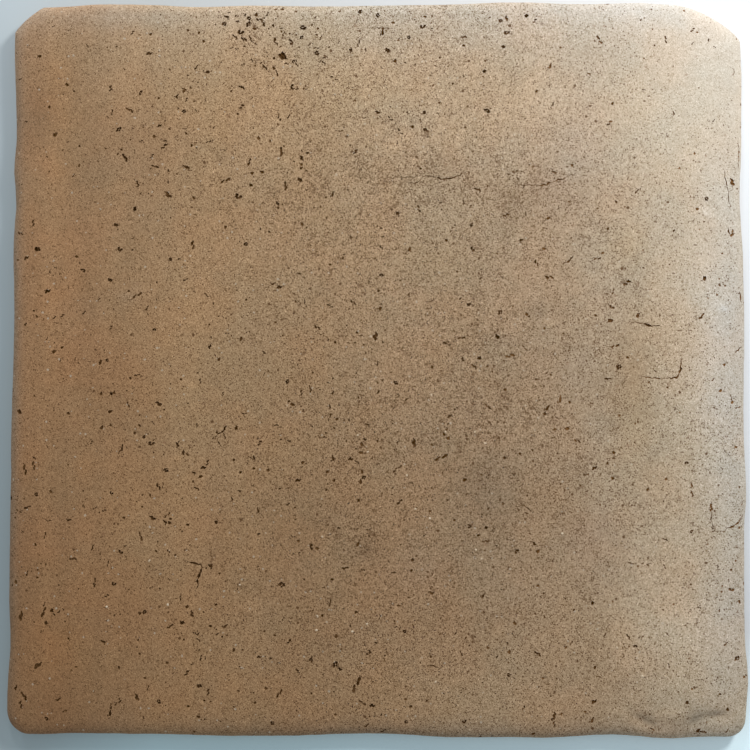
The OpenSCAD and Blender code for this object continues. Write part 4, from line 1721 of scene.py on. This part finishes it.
    def _tones(self, coat: Coat, x: Socket, y: Socket) -> Socket:
        """Mixes the rear and the front tones by place on the face."""
        drift = coat.sway(coat.noise(coat.place, self.stray_pitch, seed=2.0))
        aside, ahead, _ = coat.split(coat.vector("SCALE", drift, self.stray))
        along = coat.remap(coat.calc("ADD", x, aside), cad_low.x, cad_high.x)
        back = coat.remap(coat.calc("ADD", y, ahead), cad_low.y, cad_high.y)
        share = coat.calc("POWER", back, self.rear_power)
        return coat.mix(share, coat.ramp(along, self.front), coat.ramp(along, self.rear))

    def _drift(self, coat: Coat, x: Socket, tone: Socket) -> Socket:
        """Lays warm, cool and pale patches and the soft upright streaks of the left over the tone.

        Args:
            coat: The material.
            x: Where the surface is, from left to right.
            tone: The tone so far.

        Returns:
            The tone with them.
        """
        for colour, pitch, strength, seed in self.patches:
            amount = coat.times(coat.patches(pitch, seed), strength)
            tone = coat.mix(amount, tone, opaque(colour), "MULTIPLY")
        stretched = coat.vector("MULTIPLY", coat.place, (1.0, self.drawn_out, 1.0))
        streaks = coat.noise(stretched, self.streak_pitch, detail=1.0, seed=8.0)
        lift = coat.times(
            coat.remap(streaks.outputs[0], MOST_LOW, MOST_HIGH, -self.streak, self.streak),
            coat.remap(x, 0.0, cad_low.x))
        return coat.vector("SCALE", tone, coat.calc("ADD", lift, 1.0))

    def _grain_share(self, coat: Coat, x: Socket, y: Socket) -> Socket:
        """Returns how strongly the grain shows, by place on the face."""
        right, corner = cad_high.x, coat.calc("ADD", x, y)
        share = coat.calc("ADD", coat.remap(x, cad_low.x, 0.0, self.grain_left, self.grain_middle),
                          coat.remap(x, self.right_from * right, right, 0.0, -self.grain_off_right))
        return coat.calc("ADD", share, coat.remap(
            corner, self.corner_from * right, self.corner_to * right, 0.0, -self.grain_off_corner))

    def _flecked(self, coat: Coat, dirt: Socket, tone: Socket) -> tuple[Socket, Socket]:
        """Adds the dark, rusty and pale flecks and the hairlines.

        Args:
            coat: The material.
            dirt: How dirty the surface is.
            tone: The tone so far.

        Returns:
            The tone with them, and a mask of those that are holes.
        """
        crowd = coat.times(dirt, coat.remap(coat.patches(self.crowd_pitch, 9.0), 0.0, 1.0, *self.crowd))
        dark = coat.calc("MAXIMUM", coat.flecks(self.dust, crowd), coat.flecks(self.larger, crowd))
        hairs = coat.times(coat.hairs(self.hair_pitch, crowd, 5.0), self.hair_cover)
        holes = coat.calc("MAXIMUM", dark, hairs)
        for mask, cover, colour in ((coat.flecks(self.rusty), self.rusty_cover, self.rusty_colour),
                                    (coat.flecks(self.pale), self.pale_cover, self.pale_colour),
                                    (holes, self.dark_cover, self.dark_colour)):
            tone = coat.mix(coat.times(mask, cover), tone, opaque(colour))
        return tone, holes


@dataclass(frozen=True)
class PitStain:
    """The dark, sooty insides of pits and cracks, paler towards the right of the face."""

    dark: Colour = (0.050, 0.022, 0.005)
    brown: Colour = (0.132, 0.067, 0.026)
    brown_pitch: float = 2.4 * MM
    paler_right: float = 1.9
    grain_pitch: float = 0.5 * MM
    speckle: float = 0.35
    rough: float = 0.9
    gloss: float = 0.0
    bump: float = 0.5
    bump_deep: float = 0.12 * MM

    def make(self, effects: Effects) -> Material:
        """Makes the material with the shared effects."""
        coat = Coat("pit_stain", effects)
        tint, height = coat.grain(self.grain_pitch, 12.0)
        tone = coat.mix(coat.patches(self.brown_pitch, 11.0), opaque(self.dark), opaque(self.brown))
        gain = coat.times(coat.calc("MULTIPLY_ADD", tint, self.speckle, 1.0),
                          coat.remap(coat.split(coat.place)[0], 0.0, cad_high.x, 1.0, self.paler_right))
        coat.roughen(height, self.bump, self.bump_deep)
        return coat.finish(coat.vector("SCALE", tone, gain), self.rough, self.gloss)


@dataclass(frozen=True)
class RawBisque:
    """The unglazed clay of the back, dusty and a little uneven in its firing."""

    fired: Colour = (0.42, 0.265, 0.16)
    dusty: Colour = (0.50, 0.37, 0.25)
    dusty_pitch: float = 22 * MM
    scorched: Colour = (0.25, 0.155, 0.10)
    scorch: float = 0.35
    scorch_pitch: float = 60 * MM
    hole: Fleck = Fleck(3.0 * MM, 1.0 * MM, 0.5, 4.0)
    hole_cover: float = 0.7
    grain_pitch: float = 0.9 * MM
    speckle: float = 0.2
    rough: float = 0.88
    bump: float = 0.6
    bump_deep: float = 0.2 * MM

    def make(self, effects: Effects) -> Material:
        """Makes the material.

        Args:
            effects: The shared effects.

        Returns:
            The material.
        """
        coat = Coat("raw_bisque", effects)
        tint, height = coat.grain(self.grain_pitch, 23.0)
        holes = coat.flecks(self.hole)
        tone = coat.mix(coat.patches(self.dusty_pitch, 21.0), opaque(self.fired), opaque(self.dusty))
        for mask, cover in ((coat.patches(self.scorch_pitch, 22.0), self.scorch),
                            (holes, self.hole_cover)):
            tone = coat.mix(coat.times(mask, cover), tone, opaque(self.scorched))
        gain = coat.calc("MULTIPLY_ADD", tint, self.speckle, 1.0)
        coat.roughen(coat.calc("SUBTRACT", height, holes), self.bump, self.bump_deep)
        return coat.finish(coat.vector("SCALE", tone, gain), self.rough)


@dataclass(frozen=True)
class Quartz:
    """The pale grains in the clay."""

    white: Colour = (0.72, 0.59, 0.43)
    stained: Colour = (0.56, 0.42, 0.275)
    stain_pitch: float = 1.2 * MM
    rough: float = 0.6
    gloss: float = 0.3

    def make(self, effects: Effects) -> Material:
        """Makes the material with the shared effects."""
        coat = Coat("quartz_grain", effects)
        tone = coat.mix(coat.patches(self.stain_pitch, 31.0), opaque(self.white), opaque(self.stained))
        return coat.finish(tone, self.rough, self.gloss)


# ------ Studio ------


@dataclass(frozen=True)
class Lamp:
    """One soft lamp. Its place and size are in widths of the tile, from the middle of its face."""

    name: str
    place: tuple[float, float, float]
    size: float
    power: float
    colour: Colour


@dataclass
class Studio:
    """The floor, the lamps and the camera above the tile."""

    lamps: tuple[Lamp, ...] = (
        Lamp("key", (1.15, 1.2, 1.15), 0.45, 2.8, (1.0, 0.985, 0.96)),
        Lamp("rear", (-0.3, 2.0, 1.5), 0.4, 1.0, (0.96, 0.98, 1.0)),
        Lamp("low", (-1.3, 2.0, 0.32), 0.5, 2.2, (0.90, 0.95, 1.0)),
    )
    world_colour: Colour = (0.93, 0.965, 1.0)
    world_strength: float = 0.44
    # The floor's width in widths of the tile, and its colour far from the window and near it: a painted
    # falloff of light, with painted shade far from the window.
    floor_span: float = 9.0
    floor_painted_shade: Colour = (0.40, 0.49, 0.52)
    floor_lit: Colour = (0.78, 0.82, 0.86)
    # Where the one fades into the other, along a line that leans this much to the rear.
    lit_from: float = -260 * MM
    lit_to: float = 200 * MM
    lean: float = 0.6
    # Painted light that lifts the floor before the tile, where its shadow falls, and painted shade that
    # dims it behind the tile, from this far on, except at the left.
    floor_front_painted_light: Colour = (1.44, 1.66, 1.7)
    floor_rear_painted_shade: Colour = (0.86, 0.84, 0.82)
    tint_from: float = 120 * MM
    tint_to: float = 170 * MM
    left_from: float = -170 * MM
    left_to: float = -100 * MM
    floor_rough: float = 0.6
    # The camera: its lens, its place and aim in mm, and its roll in degrees.
    lens: float = 50.0
    eye: tuple[float, float, float] = (5.1, -17.4, 476.8)
    aim: tuple[float, float, float] = (-0.8, -4.0, 5.0)
    roll: float = 0.15

    def build(self) -> None:
        """Builds all of it."""
        self._camera()
        for lamp in self.lamps:
            self._lamp(lamp)
        self._world()
        self._floor()
        bpy.context.scene.view_settings.view_transform = "Standard"

    def _camera(self) -> None:
        """Hangs the camera over the tile, a little towards the front."""
        data = bpy.data.cameras.new("camera")
        data.lens = self.lens
        data.clip_start = 10 * MM
        camera = put_in_scene("camera", data)
        eye = Vector(self.eye) * MM
        aim = Vector(self.aim) * MM
        forward = (aim - eye).normalized()
        level = forward.cross(Vector((0.0, 1.0, 0.0))).normalized()
        upper = level.cross(forward)
        turn = math.radians(self.roll)
        right = level * math.cos(turn) + upper * math.sin(turn)
        up = upper * math.cos(turn) - level * math.sin(turn)
        matrix = Matrix((right, up, -forward)).transposed().to_4x4()
        matrix.translation = eye
        camera.matrix_world = matrix
        bpy.context.scene.camera = camera

    def _lamp(self, lamp: Lamp) -> None:
        """Hangs one lamp and turns it to the tile.

        Args:
            lamp: The lamp.
        """
        width = cad_high.x - cad_low.x
        data = bpy.data.lights.new(lamp.name, "AREA")
        data.shape = "DISK"
        data.size = lamp.size * width
        data.energy = lamp.power
        data.color = lamp.colour
        item = put_in_scene(lamp.name, data)
        item.location = Vector(lamp.place) * width
        item.rotation_mode = "QUATERNION"
        item.rotation_quaternion = (-Vector(lamp.place)).to_track_quat("-Z", "Y")

    def _world(self) -> None:
        """Fills the room with even, slightly cool light."""
        world = bpy.data.worlds.new("room")
        world.use_nodes = True
        back = world.node_tree.nodes["Background"]
        back.inputs["Color"].default_value = opaque(self.world_colour)
        back.inputs["Strength"].default_value = self.world_strength
        bpy.context.scene.world = world

    def _floor(self) -> Object:
        """Lays the pale floor that the tile lies on."""
        half = self.floor_span * (cad_high.x - cad_low.x) / 2
        mesh = bpy.data.meshes.new("floor")
        mesh.from_pydata([(-half, -half, 0), (half, -half, 0), (half, half, 0), (-half, half, 0)],
                         [], [(0, 1, 2, 3)])
        mesh.materials.append(self._paving())
        return put_in_scene("floor", mesh)

    def _paving(self) -> Material:
        """Makes the floor's finish, with painted light and shade: bluish grey painted shade at the front
        left, white at the rear right, lighter before the tile and darker behind it.
        """
        coat = Coat("pale_floor")
        x, y, _ = coat.split(coat.place)
        # Painted falloff of the window's light across the floor.
        slant = coat.calc("ADD", x, coat.times(y, self.lean))
        share = coat.remap(slant, self.lit_from, self.lit_to, smooth=True)
        colour = coat.mix(share, opaque(self.floor_painted_shade), opaque(self.floor_lit))
        # Painted light before the tile and painted shade behind it.
        for way, tint in ((-1, self.floor_front_painted_light), (1, self.floor_rear_painted_shade)):
            beyond = coat.times(coat.remap(y, way * self.tint_from, way * self.tint_to),
                                coat.remap(x, self.left_from, self.left_to))
            colour = coat.mix(beyond, colour, opaque(tint), "MULTIPLY")
        return coat.finish(colour, self.floor_rough)


def keep_level(piece: Object, top: float) -> None:
    """Wears down whatever stands higher than the crown of the face.

    Args:
        piece: The tile.
        top: The height that nothing may pass.
    """
    for vertex in piece.data.vertices:
        vertex.co.z = min(vertex.co.z, top)


def smooth_but_rims(piece: Object, crease: float) -> None:
    """Shades a piece smooth, and keeps its creased edges sharp.

    Args:
        piece: The piece.
        crease: The angle, in radians, from which an edge is a crease.
    """
    mesh = piece.data
    shape = bmesh.new()
    shape.from_mesh(mesh)
    for face in shape.faces:
        face.smooth = True
    for edge in shape.edges:
        edge.smooth = edge.calc_face_angle(0.0) < crease
    shape.to_mesh(mesh)
    shape.free()


def main() -> None:
    """Builds the tile and its studio."""
    Studio().build()
    effects = Effects()
    clay = FaceClay().make(effects)
    stain = PitStain().make(effects)
    bisque = RawBisque().make(effects)
    quartz = Quartz().make(effects)
    packed = PackedTile(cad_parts["tile"])
    relief = Relief()
    toning = Toning()
    tile = Body(packed, marks=relief.presses + toning.small()).build("fired_tile", clay)
    relief.apply(tile)
    KeyedBack(packed).cut(tile, bisque)
    Pits().cut(tile, stain)
    Cracks().cut(tile, stain)
    Grains().set_on(tile, quartz)
    keep_level(tile, cad_high.z - HEADROOM)
    toning.lay(tile)
    smooth_but_rims(tile, CREASE)
    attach(tile, "root")
    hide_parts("tile")
    log.info("fired_tile: %d faces", len(tile.data.polygons))


if __name__ == "__main__":
    main()
